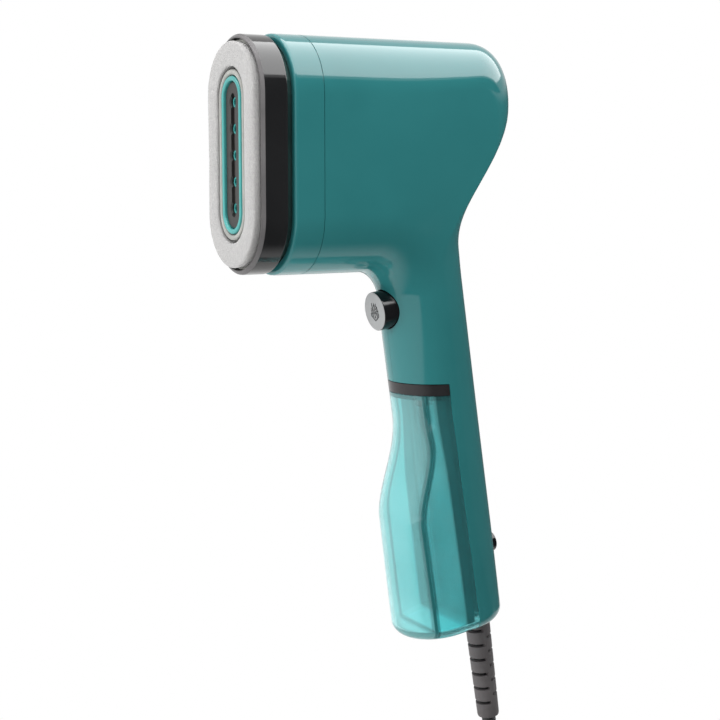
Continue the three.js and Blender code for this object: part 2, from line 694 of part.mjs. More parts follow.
// Pump's place along Y
const PUMP_FRONT = CHAMBER_BACK + TOUCH + INLET_FLANGE_DEPTH + 2 * NOZZLE_LENGTH + SLIDE;
const PUMP_BACK = PUMP_FRONT + PUMP_LENGTH;
const COIL_FRONT = PUMP_FRONT + COIL_SETBACK;
const COIL_BACK = COIL_FRONT + COIL_SIZE;
const COIL_INSIDE = COIL_SIZE / 2 + TOUCH;
const COIL_OUTSIDE = COIL_INSIDE + BRACKET_THICKNESS;

const BOARD_FRONT = CHAMBER_BACK + BOARD_SETBACK;
const BOARD_BOTTOM = HEAD_BOTTOM + BOARD_RISE;
const BOARD_BACK = BOARD_FRONT + BOARD[1];

const onPlace = (geometry, [y, z]) => solid(geometry.translate(0, y, z));

// Box on one side of the mid-plane; low and high are given for the +X side.
function mirrored(low, high, side) {
  if (side > 0) return box(low, high);
  return box([-high[0], low[1], low[2]], [-low[0], high[1], high[2]]);
}

// Ribs on the shells' insides that hold the pump, the switches, the spring's seat and the socket.
function holders(side) {
  // A rib from x outwards to the wall, between two heights.
  const rib = (x, front, low, high, thickness = RIB_THICKNESS) =>
    mirrored([x, front, low], [WIDE, front + thickness, high], side);
  const coilRib = (y) => rib(COIL_OUTSIDE + TOUCH, y, INLET_Z - RIB_HALF, INLET_Z + RIB_HALF);
  const upright = [
    coilRib(COIL_FRONT + RIB_OVERLAP),
    coilRib(COIL_BACK - RIB_OVERLAP - RIB_THICKNESS),
  ];
  const boardRib = (y) =>
    rib(BOARD_X + BOARD[0] + TOUCH, y, BOARD_BOTTOM + BOARD_RIB[0], BOARD_BOTTOM + BOARD_RIB[1]);
  if (side > 0) {
    upright.push(boardRib(BOARD_FRONT + BOARD_RIB_INSET[0]));
    upright.push(boardRib(BOARD_BACK - BOARD_RIB_INSET[1] - RIB_THICKNESS));
  }
  const powerRibX = POWER_SWITCH_SIZE[0] / 2 + TOUCH;
  const seatX = PLUNGER_RADIUS + SLIDE;
  const hand = [
    rib(seatX, SEAT_FRONT, TRIGGER_Z - SEAT_HALF, TRIGGER_Z + SEAT_HALF, SEAT_THICKNESS),
    rib(powerRibX, POWER_SWITCH_BACK - POWER_RIB[0], POWER_Z - POWER_RIB[1], POWER_Z + POWER_RIB[1]),
  ];
  if (side > 0) {
    const switchX = SWITCH_SIZE[0] / 2 + TOUCH;
    hand.push(rib(switchX, SWITCH_FRONT + SWITCH_RIB, TRIGGER_Z - RIB_HALF, TRIGGER_Z + RIB_HALF));
  }
  return join(...upright.map(solid), ...hand.map((shape) => solid(leaned(shape))));
}

// Posts in the left shell for the cord clamp's screw and for its free end.
function clampPosts() {
  const post = (radius, y) => rod(radius, -WIDE, CLAMP_FACE_X - TOUCH, 'x', [0, y, CLAMP_Z], 12);
  const posts = [post(CLAMP_POSTS[0], CLAMP_SCREW_Y), post(CLAMP_POSTS[1], CLAMP_REST_Y)];
  return join(...posts.map((shape) => solid(leaned(shape))));
}

// Holes through the shells for the trigger, the power button, the lead and the tank's fittings.
function housingOpenings() {
  const throughBand = [BAND_TOP_Z - 3 * SHELL_WALL, BAND_TOP_Z + 4 * SHELL_WALL];
  const throughFoot = [-HANDLE_LENGTH - SHELL_WALL, -HANDLE_LENGTH + 2 * SHELL_WALL];
  const throughFront = [TRIGGER_FACE, TRIGGER_STEP];
  const throughBack = [POWER_STEP, GRIP_BACK + POWER_PROUD];
  const clampPilot = [-CLAMP_SCREW_LENGTH / 2, CLAMP_FACE_X];
  const holes = [
    rod(RELIEF_NECK + SLIDE, ...throughFoot, 'z', [0, CORD_Y, 0]),
    rod(RELIEF_FLANGE + TOUCH, RELIEF_TOP - TOUCH, RELIEF_TOP + RELIEF_FLANGE, 'z', [0, CORD_Y, 0]),
    rod(TRIGGER_RADIUS + SLIDE, ...throughFront, 'y', [0, 0, TRIGGER_Z], 24),
    rod(POWER_RADIUS + SLIDE, ...throughBack, 'y', [0, 0, POWER_Z]),
    rod(SOCKET_RADIUS + TOUCH, ...throughBand, 'z', [...SPIGOT, 0]),
    rod(FILLER_RADIUS + FILLER_GAP, ...throughBand, 'z', [...FILLER, 0]),
    rod(SCREW_SHANK + SLIDE, ...clampPilot, 'x', [0, CLAMP_SCREW_Y, CLAMP_Z], 12),
  ];
  return holes.map((hole) => solid(leaned(hole)));
}

// Bosses and holes of the housing's screws: pilots in the right shell, seats in the left one.
function screwPost(side, place) {
  if (side > 0) return onPlace(rod(BOSS_RADIUS, 0, WIDE, 'x', undefined, 14), place);
  return onPlace(rod(SEAT_BOSS_RADIUS, -WIDE, 0, 'x', undefined, 14), place);
}

function screwHole(side, place) {
  const shank = SCREW_SHANK + SLIDE;
  if (side > 0) return [onPlace(rod(shank, -1, PILOT_DEPTH, 'x', undefined, 12), place)];
  return [
    onPlace(rod(shank, -WIDE, 1, 'x', undefined, 12), place),
    onPlace(rod(SCREW_HEAD + SLIDE, -WIDE, SCREW_SEAT_X, 'x', undefined, 12), place),
  ];
}

function housingHalf(side) {
  const places = Object.values(SCREW_PLACES);
  const walls = join(
    cut(BODY_OUTSIDE, BODY_INSIDE, roomSolid(0)),
    cut(BODY_OUTSIDE.intersect(roomSolid(SHELL_WALL)), roomSolid(0)),
  );
  const inner = [holders(side), ...places.map((place) => screwPost(side, place))];
  if (side < 0) inner.push(clampPosts());
  const inside = join(...inner).intersect(cut(BODY_OUTSIDE, roomSolid(0)));
  const screwHoles = places.flatMap((place) => screwHole(side, place));
  const body = cut(join(walls, inside), ...screwHoles, ...housingOpenings());
  return body.intersect(solid(mirrored([TOUCH / 2, -FAR, -FAR], [WIDE, FAR, FAR], side)));
}

part('right_housing', housingHalf(1), TEAL);
part('left_housing', housingHalf(-1), TEAL);

// Ring in front of the seam: a shell with a front wall round the neck opening.
function frontCollar() {
  const outline = stadium(HEAD_WIDTH, HEAD_HEIGHT);
  const inner = stadium(...headInset(SHELL_WALL));
  const neck = stadium(FRAME_SIZE[0] + 2 * TOUCH, FRAME_SIZE[1] + 2 * TOUCH);
  return cut(
    solid(alongY(outline, HEAD_FRONT_Y, SEAM_Y - TOUCH)),
    solid(alongY(inner, HEAD_FRONT_Y + SHELL_WALL, SEAM_Y + 1)),
    solid(alongY(neck, HEAD_FRONT_Y - 1, SEAM_Y)),
  );
}
part('front_collar', frontCollar(), TEAL);

// ---------------------------------------------------------------- steam face

const BEZEL_SIZE = headInset(BEZEL_INSET);
const POCKET_SIZE = BEZEL_SIZE.map((size) => size - 2 * BEZEL_RIM);
const PAD_FRAME_SIZE = POCKET_SIZE.map((size) => size - 2 * SLIDE);

const faceScrewRods = (radius, from, to) => [-1, 1].map((end) =>
  solid(rod(radius, from, to, 'y', [0, 0, HEAD_CENTRE_Z + end * FACE_SCREW_Z], 12)));

function headBezel() {
  const outer = alongY(stadium(...BEZEL_SIZE), BEZEL_FRONT, BEZEL_BACK);
  const pocket = alongY(stadium(...POCKET_SIZE), BEZEL_FRONT - 1, POCKET_Y);
  const back = alongY(stadium(...POCKET_SIZE), BEZEL_FLOOR_BACK, BEZEL_BACK + 1);
  const windowSize = NOZZLE_RIM.map((size) => size + 2 * TOUCH);
  const window = alongY(stadium(...windowSize), BEZEL_FRONT, BEZEL_BACK);
  const screws = faceScrewRods(SCREW_SHANK + SLIDE, BEZEL_FRONT, BEZEL_BACK);
  return cut(solid(outer), solid(pocket), solid(back), solid(window), ...screws);
}
part('head_bezel', headBezel(), BLACK_GLOSS);

const openingHole = (grow) => stadium(...PAD_OPENING.map((size) => size + 2 * grow));

function padFrame() {
  const outline = stadium(...PAD_FRAME_SIZE, [openingHole(-PAD_FRAME_LIP)]);
  const plate = alongY(outline, PAD_BACK + TOUCH, PAD_BACK + TOUCH + PAD_FRAME_THICKNESS);
  return cut(solid(plate), ...faceScrewRods(SCREW_HEAD + SLIDE, PAD_BACK, POCKET_Y + 1));
}
part('pad_frame', padFrame(), GREY);

const padSize = PAD_FRAME_SIZE.map((size) => size - 2 * PAD_FRAME_RIM);
const padOutline = stadium(...padSize, [openingHole(0)]);
part('fabric_pad', alongY(padOutline, PAD_FRONT, PAD_BACK), FABRIC);

const holeHeights = Array.from({ length: STEAM_HOLES }, (_, i) =>
  HEAD_CENTRE_Z + (i - (STEAM_HOLES - 1) / 2) * STEAM_HOLE_PITCH);
const eachHole = (radius, from, to) =>
  holeHeights.map((z) => solid(rod(radius, from, to, 'y', [0, 0, z], 14)));

const PLATE_SIZE = NOZZLE_RIM.map((size) => size - 2 * NOZZLE_RIM_WALL - 2 * TOUCH);
const TUBE_FRONT = PLATE_FRONT + GROOVE_DEPTH;

// Teal oval rim with its flange and five nozzle tubes.
function nozzleRing() {
  const rim = alongY(stadium(...NOZZLE_RIM), RIM_FRONT, FLANGE_BACK);
  const flangeSize = NOZZLE_RIM.map((size) => size + 2 * NOZZLE_FLANGE);
  const flange = alongY(stadium(...flangeSize), FLANGE_FRONT, FLANGE_BACK);
  const wellSize = NOZZLE_RIM.map((size) => size - 2 * NOZZLE_RIM_WALL);
  const well = alongY(stadium(...wellSize), RIM_FRONT - 1, FLANGE_FRONT);
  const cup = cut(join(solid(rim), solid(flange)), solid(well));
  const tubes = join(cup, ...eachHole(STEAM_HOLE_RADIUS - TOUCH, TUBE_FRONT, FLANGE_BACK));
  return cut(tubes, ...eachHole(NOZZLE_BORE, TUBE_FRONT - 1, FLANGE_BACK + 1));
}
part('nozzle_ring', nozzleRing(), TEAL);

// Dark strip inside the rim, grooved from the first hole to the last.
function steamPlate() {
  const plate = alongY(stadium(...PLATE_SIZE), PLATE_FRONT, FLANGE_FRONT - TOUCH);
  const reach = (STEAM_HOLES - 1) * STEAM_HOLE_PITCH + 3 * STEAM_HOLE_RADIUS;
  const groove = alongY(stadium(GROOVE_WIDTH, reach), PLATE_FRONT - 1, TUBE_FRONT);
  return cut(solid(plate), solid(groove), ...eachHole(STEAM_HOLE_RADIUS, PLATE_FRONT - 1, FLANGE_FRONT));
}
part('steam_plate', steamPlate(), BLACK_MATT);

// ---------------------------------------------------------------- steam generator

const FRAME_FRONT = BEZEL_FLOOR_BACK + TOUCH;
const FRAME_BACK = CHAMBER_FRONT + FRAME_OVERLAP;
const FRAME_WINDOW = NOZZLE_RIM.map((size) => size + 2 * (NOZZLE_FLANGE + SLIDE));
const STOP_FRONT = HEAD_FRONT_Y + SHELL_WALL + TOUCH;

// Hooks above and below that run along the chamber and snap behind it.
function frameHooks() {
  const inside = CHAMBER_SIZE[1] / 2 + TOUCH;
  const outside = FRAME_SIZE[1] / 2 - FRAME_WALL / 2;
  const rear = CHAMBER_BACK + TOUCH;
  const half = HOOK_WIDTH / 2;
  return [-1, 1].flatMap((end) => {
    const at = (near, far) => [near, far].map((reach) => HEAD_CENTRE_Z + end * reach).sort((a, b) => a - b);
    const [armLow, armHigh] = at(inside, outside);
    const [tipLow, tipHigh] = at(inside - HOOK_BITE, outside);
    return [
      solid(box([-half, CHAMBER_FRONT, armLow], [half, rear + HOOK_THICKNESS, armHigh])),
      solid(box([-half, rear, tipLow], [half, rear + HOOK_THICKNESS, tipHigh])),
    ];
  });
}

// Heat-resistant tube that carries the bezel, reaches through the collar and holds the chamber.
function headFrame() {
  const hollowSize = FRAME_SIZE.map((size) => size - 2 * FRAME_WALL);
  const tube = alongY(stadium(...FRAME_SIZE), FRAME_FRONT, FRAME_BACK);
  const hollow = alongY(stadium(...hollowSize), FRAME_FRONT + FLANGE_THICKNESS, FRAME_BACK + 1);
  const window = alongY(stadium(...FRAME_WINDOW), FRAME_FRONT - 1, FRAME_FRONT + 2 * FLANGE_THICKNESS);
  const [stopHeight, stopThickness] = FRAME_STOP;
  const stopSize = FRAME_SIZE.map((size) => size + 2 * stopHeight);
  const stop = alongY(stadium(...stopSize), STOP_FRONT, STOP_FRONT + stopThickness);
  const body = cut(join(solid(tube), solid(stop)), solid(hollow), solid(window));
  const bosses = faceScrewRods(BOSS_RADIUS, FRAME_FRONT, FRAME_FRONT + FACE_BOSS_LENGTH);
  const pilots = faceScrewRods(SCREW_SHANK + SLIDE, FRAME_FRONT - 1, FRAME_FRONT + FACE_BOSS_LENGTH + 1);
  const roomSize = CHAMBER_SIZE.map((size) => size + 2 * TOUCH);
  const room = solid(alongY(stadium(...roomSize), FRAME_FRONT, CHAMBER_BACK + TOUCH));
  return cut(join(body, ...bosses, ...frameHooks()), ...pilots, room);
}
part('head_frame', headFrame(), BLACK_MATT);

function chamberCover() {
  const plate = solid(alongY(stadium(...CHAMBER_SIZE), COVER_FRONT, COVER_BACK));
  return cut(plate, ...eachHole(NOZZLE_BORE, COVER_FRONT - 1, COVER_BACK + 1));
}
part('chamber_cover', chamberCover(), ALUMINIUM);

const cavitySize = CHAMBER_SIZE.map((size) => size - 2 * CHAMBER_WALL);
const gasketOutline = stadium(...CHAMBER_SIZE, [stadium(...cavitySize)]);
part('chamber_gasket', alongY(gasketOutline, GASKET_FRONT, GASKET_BACK), CLEAR_RUBBER);

const ELEMENT_Y = CHAMBER_BACK - ELEMENT_RADIUS - ELEMENT_DEPTH;
const ELEMENT_STEPS = 22;
const ELEMENT_ARC_STEPS = 8;

// U-shaped path of the heating element, open at the bottom, ends turned back.
function elementCurve() {
  const arcPoints = [];
  for (let i = 0; i <= ELEMENT_ARC_STEPS; i++) {
    const turn = Math.PI - (Math.PI * i) / ELEMENT_ARC_STEPS;
    arcPoints.push([ELEMENT_SPREAD * Math.cos(turn), ELEMENT_Y, INLET_Z + ELEMENT_SPREAD * Math.sin(turn)]);
  }
  const foot = INLET_Z - ELEMENT_LEG;
  const [reach, straight, bend] = ELEMENT_ENDS;
  const end = (side) => [
    [side * ELEMENT_SPREAD, ELEMENT_Y + reach, foot],
    [side * ELEMENT_SPREAD, ELEMENT_Y + straight, foot],
    [side * ELEMENT_SPREAD, ELEMENT_Y + bend, foot + bend],
    [side * ELEMENT_SPREAD, ELEMENT_Y, foot + ELEMENT_STRAIGHT[0]],
    [side * ELEMENT_SPREAD, ELEMENT_Y, foot + ELEMENT_STRAIGHT[1]],
  ];
  return smoothCurve([...end(-1), ...arcPoints, ...end(1).reverse()]);
}

function steamChamber() {
  const block = solid(alongY(stadium(...CHAMBER_SIZE), CHAMBER_FRONT, CHAMBER_BACK));
  const cavity = solid(alongY(stadium(...cavitySize), CHAMBER_FRONT - 1, CHAMBER_FRONT + CHAMBER_CAVITY));
  const groove = drawn(elementCurve(), ELEMENT_RADIUS + SLIDE, ELEMENT_STEPS, 0, 6);
  const mouth = groove.clone().translate(0, ELEMENT_RADIUS, 0);
  const inlet = rod(INLET_RADIUS + TOUCH, CHAMBER_FRONT, CHAMBER_BACK + 1, 'y', [0, 0, INLET_Z]);
  return cut(block, cavity, solid(groove), solid(mouth), solid(inlet));
}
part('steam_chamber', steamChamber(), ALUMINIUM);
part('heating_element', drawn(elementCurve(), ELEMENT_RADIUS, ELEMENT_STEPS, 0, 6), STEEL);

// Brass fitting that the pump's hose is pushed on.
const INLET_STEP = CHAMBER_BACK + TOUCH + INLET_FLANGE_DEPTH;
const INLET_FRONT = CHAMBER_FRONT + CHAMBER_CAVITY + 1;
const inletProfile = [
  [FITTING_BORE, INLET_FRONT],
  [INLET_RADIUS, INLET_FRONT],
  [INLET_RADIUS, CHAMBER_BACK + TOUCH],
  [INLET_FLANGE, CHAMBER_BACK + TOUCH],
  [INLET_FLANGE, INLET_STEP],
  [NOZZLE_RADIUS, INLET_STEP],
  [NOZZLE_RADIUS, INLET_STEP + NOZZLE_LENGTH],
  [FITTING_BORE, INLET_STEP + NOZZLE_LENGTH],
  [FITTING_BORE, INLET_FRONT],
];
part('chamber_inlet', turned(inletProfile, 'y', [0, 0, INLET_Z]), BRASS);

const THERMOSTAT_Z = INLET_Z - INLET_FLANGE - THERMOSTAT_RADIUS - FITTING_GAP;
const thermostatFoot = CHAMBER_BACK + TOUCH;
const [thermostatStep, thermostatTop] = THERMOSTAT_STEPS.map((height) => thermostatFoot + height);
const thermostatProfile = [
  [0, thermostatFoot],
  [THERMOSTAT_RADIUS, thermostatFoot],
  [THERMOSTAT_RADIUS, thermostatStep],
  [THERMOSTAT_RADIUS - THERMOSTAT_RIM, thermostatStep],
  [THERMOSTAT_RADIUS - THERMOSTAT_RIM, thermostatTop],
  [0, thermostatTop],
];
part('thermostat', turned(thermostatProfile, 'y', [0, 0, THERMOSTAT_Z]), BLACK_MATT);

const FUSE_Z = THERMOSTAT_Z - THERMOSTAT_RADIUS - FUSE_RADIUS - FITTING_GAP;
const fusePlace = [0, CHAMBER_BACK + TOUCH + FUSE_RADIUS, FUSE_Z];
part('thermal_fuse', rod(FUSE_RADIUS, -FUSE_LENGTH / 2, FUSE_LENGTH / 2, 'x', fusePlace, 16), STEEL);

// ---------------------------------------------------------------- pump and hoses

const pumpProfile = [
  [0, PUMP_FRONT - NOZZLE_LENGTH],
  [NOZZLE_RADIUS, PUMP_FRONT - NOZZLE_LENGTH],
  [NOZZLE_RADIUS, PUMP_FRONT],
  [PUMP_RADIUS, PUMP_FRONT],
  [PUMP_RADIUS, PUMP_BACK],
  [NOZZLE_RADIUS, PUMP_BACK],
  [NOZZLE_RADIUS, PUMP_BACK + NOZZLE_LENGTH],
  [0, PUMP_BACK + NOZZLE_LENGTH],
];
part('pump_body', turned(pumpProfile, 'y', [0, 0, INLET_Z]), BLACK_MATT);

const pumpBore = () => solid(rod(PUMP_RADIUS + TOUCH, PUMP_FRONT, PUMP_BACK, 'y', [0, 0, INLET_Z]));
const coilHalf = COIL_SIZE / 2;
const [coilLow, coilHigh] = [INLET_Z - coilHalf, INLET_Z + coilHalf];
const coilBlock = box([-coilHalf, COIL_FRONT, coilLow], [coilHalf, COIL_BACK, coilHigh]);
part('pump_coil', cut(solid(coilBlock), pumpBore()), COPPER);

// Steel yoke: a C bent round the coil, open to the left.
function pumpBracket() {
  const [front, back] = [COIL_FRONT - TOUCH, COIL_BACK + TOUCH];
  const block = box(
    [-coilHalf, front - BRACKET_THICKNESS, coilLow],
    [COIL_OUTSIDE, back + BRACKET_THICKNESS, coilHigh],
  );
  const room = box([-COIL_OUTSIDE, front, coilLow - 1], [COIL_INSIDE, back, coilHigh + 1]);
  return cut(solid(block), solid(room), pumpBore());
}
part('pump_bracket', pumpBracket(), STEEL);

const outletEnds = [INLET_STEP + TOUCH, PUMP_FRONT - TOUCH];
const outletHose = pipe(HOSE_RADIUS, HOSE_BORE, ...outletEnds, 'y', [0, 0, INLET_Z], 16);
part('outlet_hose', outletHose, CLEAR_RUBBER);

// From the tank's socket up through the handle and round to the back of the pump.
function inletHose() {
  const [over, past] = HOSE_LEAD;
  const [x, yLow, yHigh] = HOSE_HANDLE;
  const [endReach, endOver] = HOSE_END;
  const curve = smoothCurve([
    inHandle(...SPIGOT, SOCKET_SHOULDER + TOUCH),
    inHandle(...SPIGOT, SOCKET_SHOULDER + over),
    inHandle(...SPIGOT, SOCKET_TOP + past),
    inHandle(x, yLow, SOCKET_TOP + HOSE_OFFSET),
    inHandle(x, yHigh, TRIGGER_Z),
    ...HOSE_BENDS.map(([bendX, bendY, down]) => [bendX, bendY, INLET_Z - down]),
    [0, PUMP_BACK + NOZZLE_LENGTH + endReach, INLET_Z],
    [0, PUMP_BACK + endOver, INLET_Z],
    [0, PUMP_BACK + TOUCH, INLET_Z],
  ]);
  return drawn(curve, HOSE_RADIUS, 28, HOSE_BORE, 8);
}
part('inlet_hose', inletHose(), CLEAR_RUBBER);

// ---------------------------------------------------------------- electronics

const boardBox = box(
  [BOARD_X, BOARD_FRONT, BOARD_BOTTOM],
  [BOARD_X + BOARD[0], BOARD_BACK, BOARD_BOTTOM + BOARD[2]],
);
part('control_board', boardBox, BOARD_GREEN);

// Parts on the board's inner face, with their feet on it.
const BOARD_FACE = BOARD_X - TOUCH;
const onBoard = (x, [along, up]) => [x, BOARD_FRONT + along, BOARD_BOTTOM + up];
const [capacitorRadius, capacitorLength] = CAPACITOR;
const capacitor = rod(capacitorRadius, -capacitorLength, 0, 'x', onBoard(BOARD_FACE, CAPACITOR_PLACE), 16);
part('capacitor', capacitor, BLACK_MATT);

const relayLow = onBoard(BOARD_FACE - RELAY[0], RELAY_PLACE);
const relayHigh = relayLow.map((value, i) => value + RELAY[i]);
part('relay', box(relayLow, relayHigh), BLACK_MATT);

// ---------------------------------------------------------------- trigger and power button

const triggerProfile = [
  [0, TRIGGER_FACE],
  [TRIGGER_RADIUS - TRIGGER_EDGE, TRIGGER_FACE],
  [TRIGGER_RADIUS, TRIGGER_FACE + TRIGGER_EDGE],
  [TRIGGER_RADIUS, TRIGGER_STEP],
  [TRIGGER_FLANGE, TRIGGER_STEP],
  [TRIGGER_FLANGE, TRIGGER_BACK],
  [SPRING_RADIUS + SPRING_ROOM, TRIGGER_BACK],
  [SPRING_RADIUS + SPRING_ROOM, TRIGGER_WELL],
  [TRIGGER_PIN, TRIGGER_WELL],
  [TRIGGER_PIN, TRIGGER_BACK],
  [0, TRIGGER_BACK],
];
part('trigger_button', turned(triggerProfile, 'y', [0, 0, TRIGGER_Z], 24), GREY, handle);

// Helix along Y, from the bottom of the trigger's well to the seat.
class Coil extends THREE.Curve {
  getPoint(t) {
    const turn = 2 * Math.PI * SPRING_TURNS * t;
    const gap = SPRING_WIRE + TOUCH;
    return new THREE.Vector3(
      SPRING_RADIUS * Math.cos(turn),
      THREE.MathUtils.lerp(TRIGGER_WELL + gap, SEAT_FRONT - gap, t),
      TRIGGER_Z + SPRING_RADIUS * Math.sin(turn),
    );
  }
}
part('trigger_spring', drawn(new Coil(), SPRING_WIRE, SPRING_TURNS * 12, 0, 4), STEEL, handle);

function microSwitch() {
  const [width, depth, height] = SWITCH_SIZE;
  const body = box(
    [-width / 2, SWITCH_FRONT, TRIGGER_Z - height / 2],
    [width / 2, SWITCH_FRONT + depth, TRIGGER_Z + height / 2],
  );
  const plunger = rod(PLUNGER_RADIUS, SEAT_FRONT, SWITCH_FRONT + 1, 'y', [0, 0, TRIGGER_Z], 12);
  return join(solid(body), solid(plunger));
}
part('micro_switch', microSwitch(), BLACK_MATT, handle);

// Domed button with a flange that keeps it in the housing.
const powerProfile = [
  [0, POWER_BACK],
  [POWER_FLANGE, POWER_BACK],
  [POWER_FLANGE, POWER_STEP],
  [POWER_RADIUS, POWER_STEP],
  [POWER_RADIUS, GRIP_BACK + POWER_PROUD * 0.55],
  [POWER_RADIUS * 0.92, GRIP_BACK + POWER_PROUD * 0.82],
  [POWER_RADIUS * 0.7, GRIP_BACK + POWER_PROUD * 0.95],
  [0, GRIP_BACK + POWER_PROUD],
];
part('power_button', turned(powerProfile, 'y', [0, 0, POWER_Z]), BLACK_GLOSS, handle);

const [powerSwitchWidth, powerSwitchDepth, powerSwitchHeight] = POWER_SWITCH_SIZE;
const powerSwitch = box(
  [-powerSwitchWidth / 2, POWER_SWITCH_BACK - powerSwitchDepth, POWER_Z - powerSwitchHeight / 2],
  [powerSwitchWidth / 2, POWER_SWITCH_BACK, POWER_Z + powerSwitchHeight / 2],
);
part('power_switch', powerSwitch, BLACK_MATT, handle);

// ---------------------------------------------------------------- water tank

const SHELL_TOP_Z = BAND_TOP_Z - BAND_HEIGHT - TOUCH; // upright frame
const TANK_ROOM = BODY_OUTSIDE.intersect(roomSolid(-TOUCH));
const level = (z) => solid(box([-WIDE, -FAR, z], [WIDE, FAR, z + FAR]));
const throughLid = ([x, y], radius) =>
  solid(leaned(rod(radius, BAND_TOP_Z - 6 * BAND_HEIGHT, BAND_TOP_Z + 2 * BAND_HEIGHT, 'z', [x, y, 0])));

function tankLid() {
  const slab = TANK_ROOM.intersect(level(BAND_TOP_Z - BAND_HEIGHT));
  return cut(slab, throughLid(SPIGOT, SPIGOT_RADIUS + TOUCH), throughLid(FILLER, FILLER_RADIUS + TOUCH));
}
part('tank_lid', tankLid(), BLACK_MATT);

// Weld between the tank's front and rear shells, in the handle's frame; it follows the front edge.
function weldEdge(shift) {
  const edge = new THREE.Path();
  const [top, full] = [WELD_TOP_Y + shift, WELD_BELLY_Y + shift];
  const [neck, belly] = [TANK_NECK[1], TANK_BELLY[1] + WELD_RISE];
  edge.moveTo(top, HANDLE_LENGTH);
  edge.lineTo(top, neck);
  edge.bezierCurveTo(top, neck - NECK_PULL[2], full, belly + WELD_PULL, full, belly);
  edge.lineTo(full, -FAR);
  return edge.getPoints(6).map((p) => [p.x, p.y]);
}

function weldSide(shift, far) {
  const edge = weldEdge(shift);
  const outline = polygon([...edge, [far, edge[edge.length - 1][1]], [far, edge[0][1]]]);
  return solid(leaned(alongX(outline, -WIDE, WIDE)));
}

const tankFloorLevel = -(HANDLE_LENGTH - TANK_FLOOR);
const TANK_SHELL_TOP = SHELL_TOP_Z - TANK_WALL;

// Water space: inside the walls, between floor and top, in front of the rear wall.
function waterSpace() {
  const belowTop = cut(TANK_INSIDE, level(TANK_SHELL_TOP));
  const aboveFloor = solid(leaned(box([-WIDE, -FAR, tankFloorLevel], [WIDE, FAR, FAR])));
  return belowTop.intersect(roomSolid(-TOUCH - TANK_WALL, BAND_TOP_Z + FAR)).intersect(aboveFloor);
}

function tankShells() {
  const block = cut(TANK_ROOM, level(SHELL_TOP_Z));
  const hollow = cut(block, waterSpace());
  const front = hollow.intersect(weldSide(-TOUCH / 2, -FAR));
  const rear = hollow.intersect(weldSide(TOUCH / 2, FAR));
  const holes = [throughLid(SPIGOT, SPIGOT_RADIUS + TOUCH), throughLid(FILLER, FILLER_RADIUS + TOUCH)];
  return [cut(front, ...holes), cut(rear, ...holes)];
}
const [tankFrontShell, tankRearShell] = tankShells();
part('tank_front_shell', tankFrontShell, TANK);
part('tank_rear_shell', tankRearShell, TANK);

// Spigot through the lid, with a barb inside the tank for the suction tube.
const SPIGOT_FOOT = BAND_TOP_Z - SPIGOT_REACH;
const onSpigot = [...SPIGOT, 0];
const valve = pipe(SPIGOT_RADIUS, SUCTION_BORE, SPIGOT_FOOT, SPIGOT_TOP, 'z', onSpigot, 16);
part('tank_valve', valve, RUBBER, handle);

const suctionEnds = [tankFloorLevel + SUCTION_GAP, SPIGOT_FOOT - TOUCH];
const suction = pipe(SUCTION_RADIUS, SUCTION_BORE, ...suctionEnds, 'z', onSpigot, 12);
part('suction_tube', suction, CLEAR_RUBBER, handle);

const fillerTop = BAND_TOP_Z + FILLER_PROUD;
const filler = rod(FILLER_RADIUS, fillerTop - FILLER_LENGTH, fillerTop, 'z', [...FILLER, 0], 16);
part('filler_plug', filler, RUBBER, handle);

// Socket in the handle that takes the spigot, with a barb for the hose.
const SOCKET_FLANGE = SOCKET_RADIUS + SOCKET_CLIP_RIM;
const CLIP_FOOT = BAND_TOP_Z + SOCKET_CLIP[0];
const CLIP_TOP = CLIP_FOOT + SOCKET_CLIP[1];
const SEAL_TOP = SPIGOT_TOP - SEAL_DEPTH;
const SEAL_FOOT = SEAL_TOP - SEAL_HEIGHT;
const socketProfile = [
  [SPIGOT_RADIUS + SLIDE, SOCKET_FOOT],
  [SOCKET_RADIUS, SOCKET_FOOT],
  [SOCKET_RADIUS, CLIP_FOOT],
  [SOCKET_FLANGE, CLIP_FOOT],
  [SOCKET_FLANGE, CLIP_TOP],
  [SOCKET_RADIUS, CLIP_TOP],
  [SOCKET_RADIUS, SOCKET_SHOULDER],
  [NOZZLE_RADIUS, SOCKET_SHOULDER],
  [NOZZLE_RADIUS, SOCKET_TOP],
  [FITTING_BORE, SOCKET_TOP],
  [FITTING_BORE, SOCKET_BOTTOM],
  [SPIGOT_RADIUS + SLIDE, SOCKET_BOTTOM],
  [SPIGOT_RADIUS + SLIDE, SEAL_TOP + TOUCH],
  [SEAL_OUTSIDE + TOUCH, SEAL_TOP + TOUCH],
  [SEAL_OUTSIDE + TOUCH, SEAL_FOOT - TOUCH],
  [SPIGOT_RADIUS + SLIDE, SEAL_FOOT - TOUCH],
  [SPIGOT_RADIUS + SLIDE, SOCKET_FOOT],
];
part('seal_ring', pipe(SEAL_OUTSIDE, SEAL_INSIDE, SEAL_FOOT, SEAL_TOP, 'z', onSpigot, 16), RUBBER, handle);
part('tank_socket', turned(socketProfile, 'z', onSpigot, 16), BLACK_MATT, handle);

// ---------------------------------------------------------------- mains lead in and below the handle

const LEAD_TOP = CLAMP_Z + LEAD_OVER_CLAMP;
const RELIEF_END = -HANDLE_LENGTH - RELIEF_LENGTH;

part('inner_lead', rod(CORD_RADIUS, RELIEF_END, LEAD_TOP, 'z', [0, CORD_Y, 0], 12), BLACK_MATT, handle);

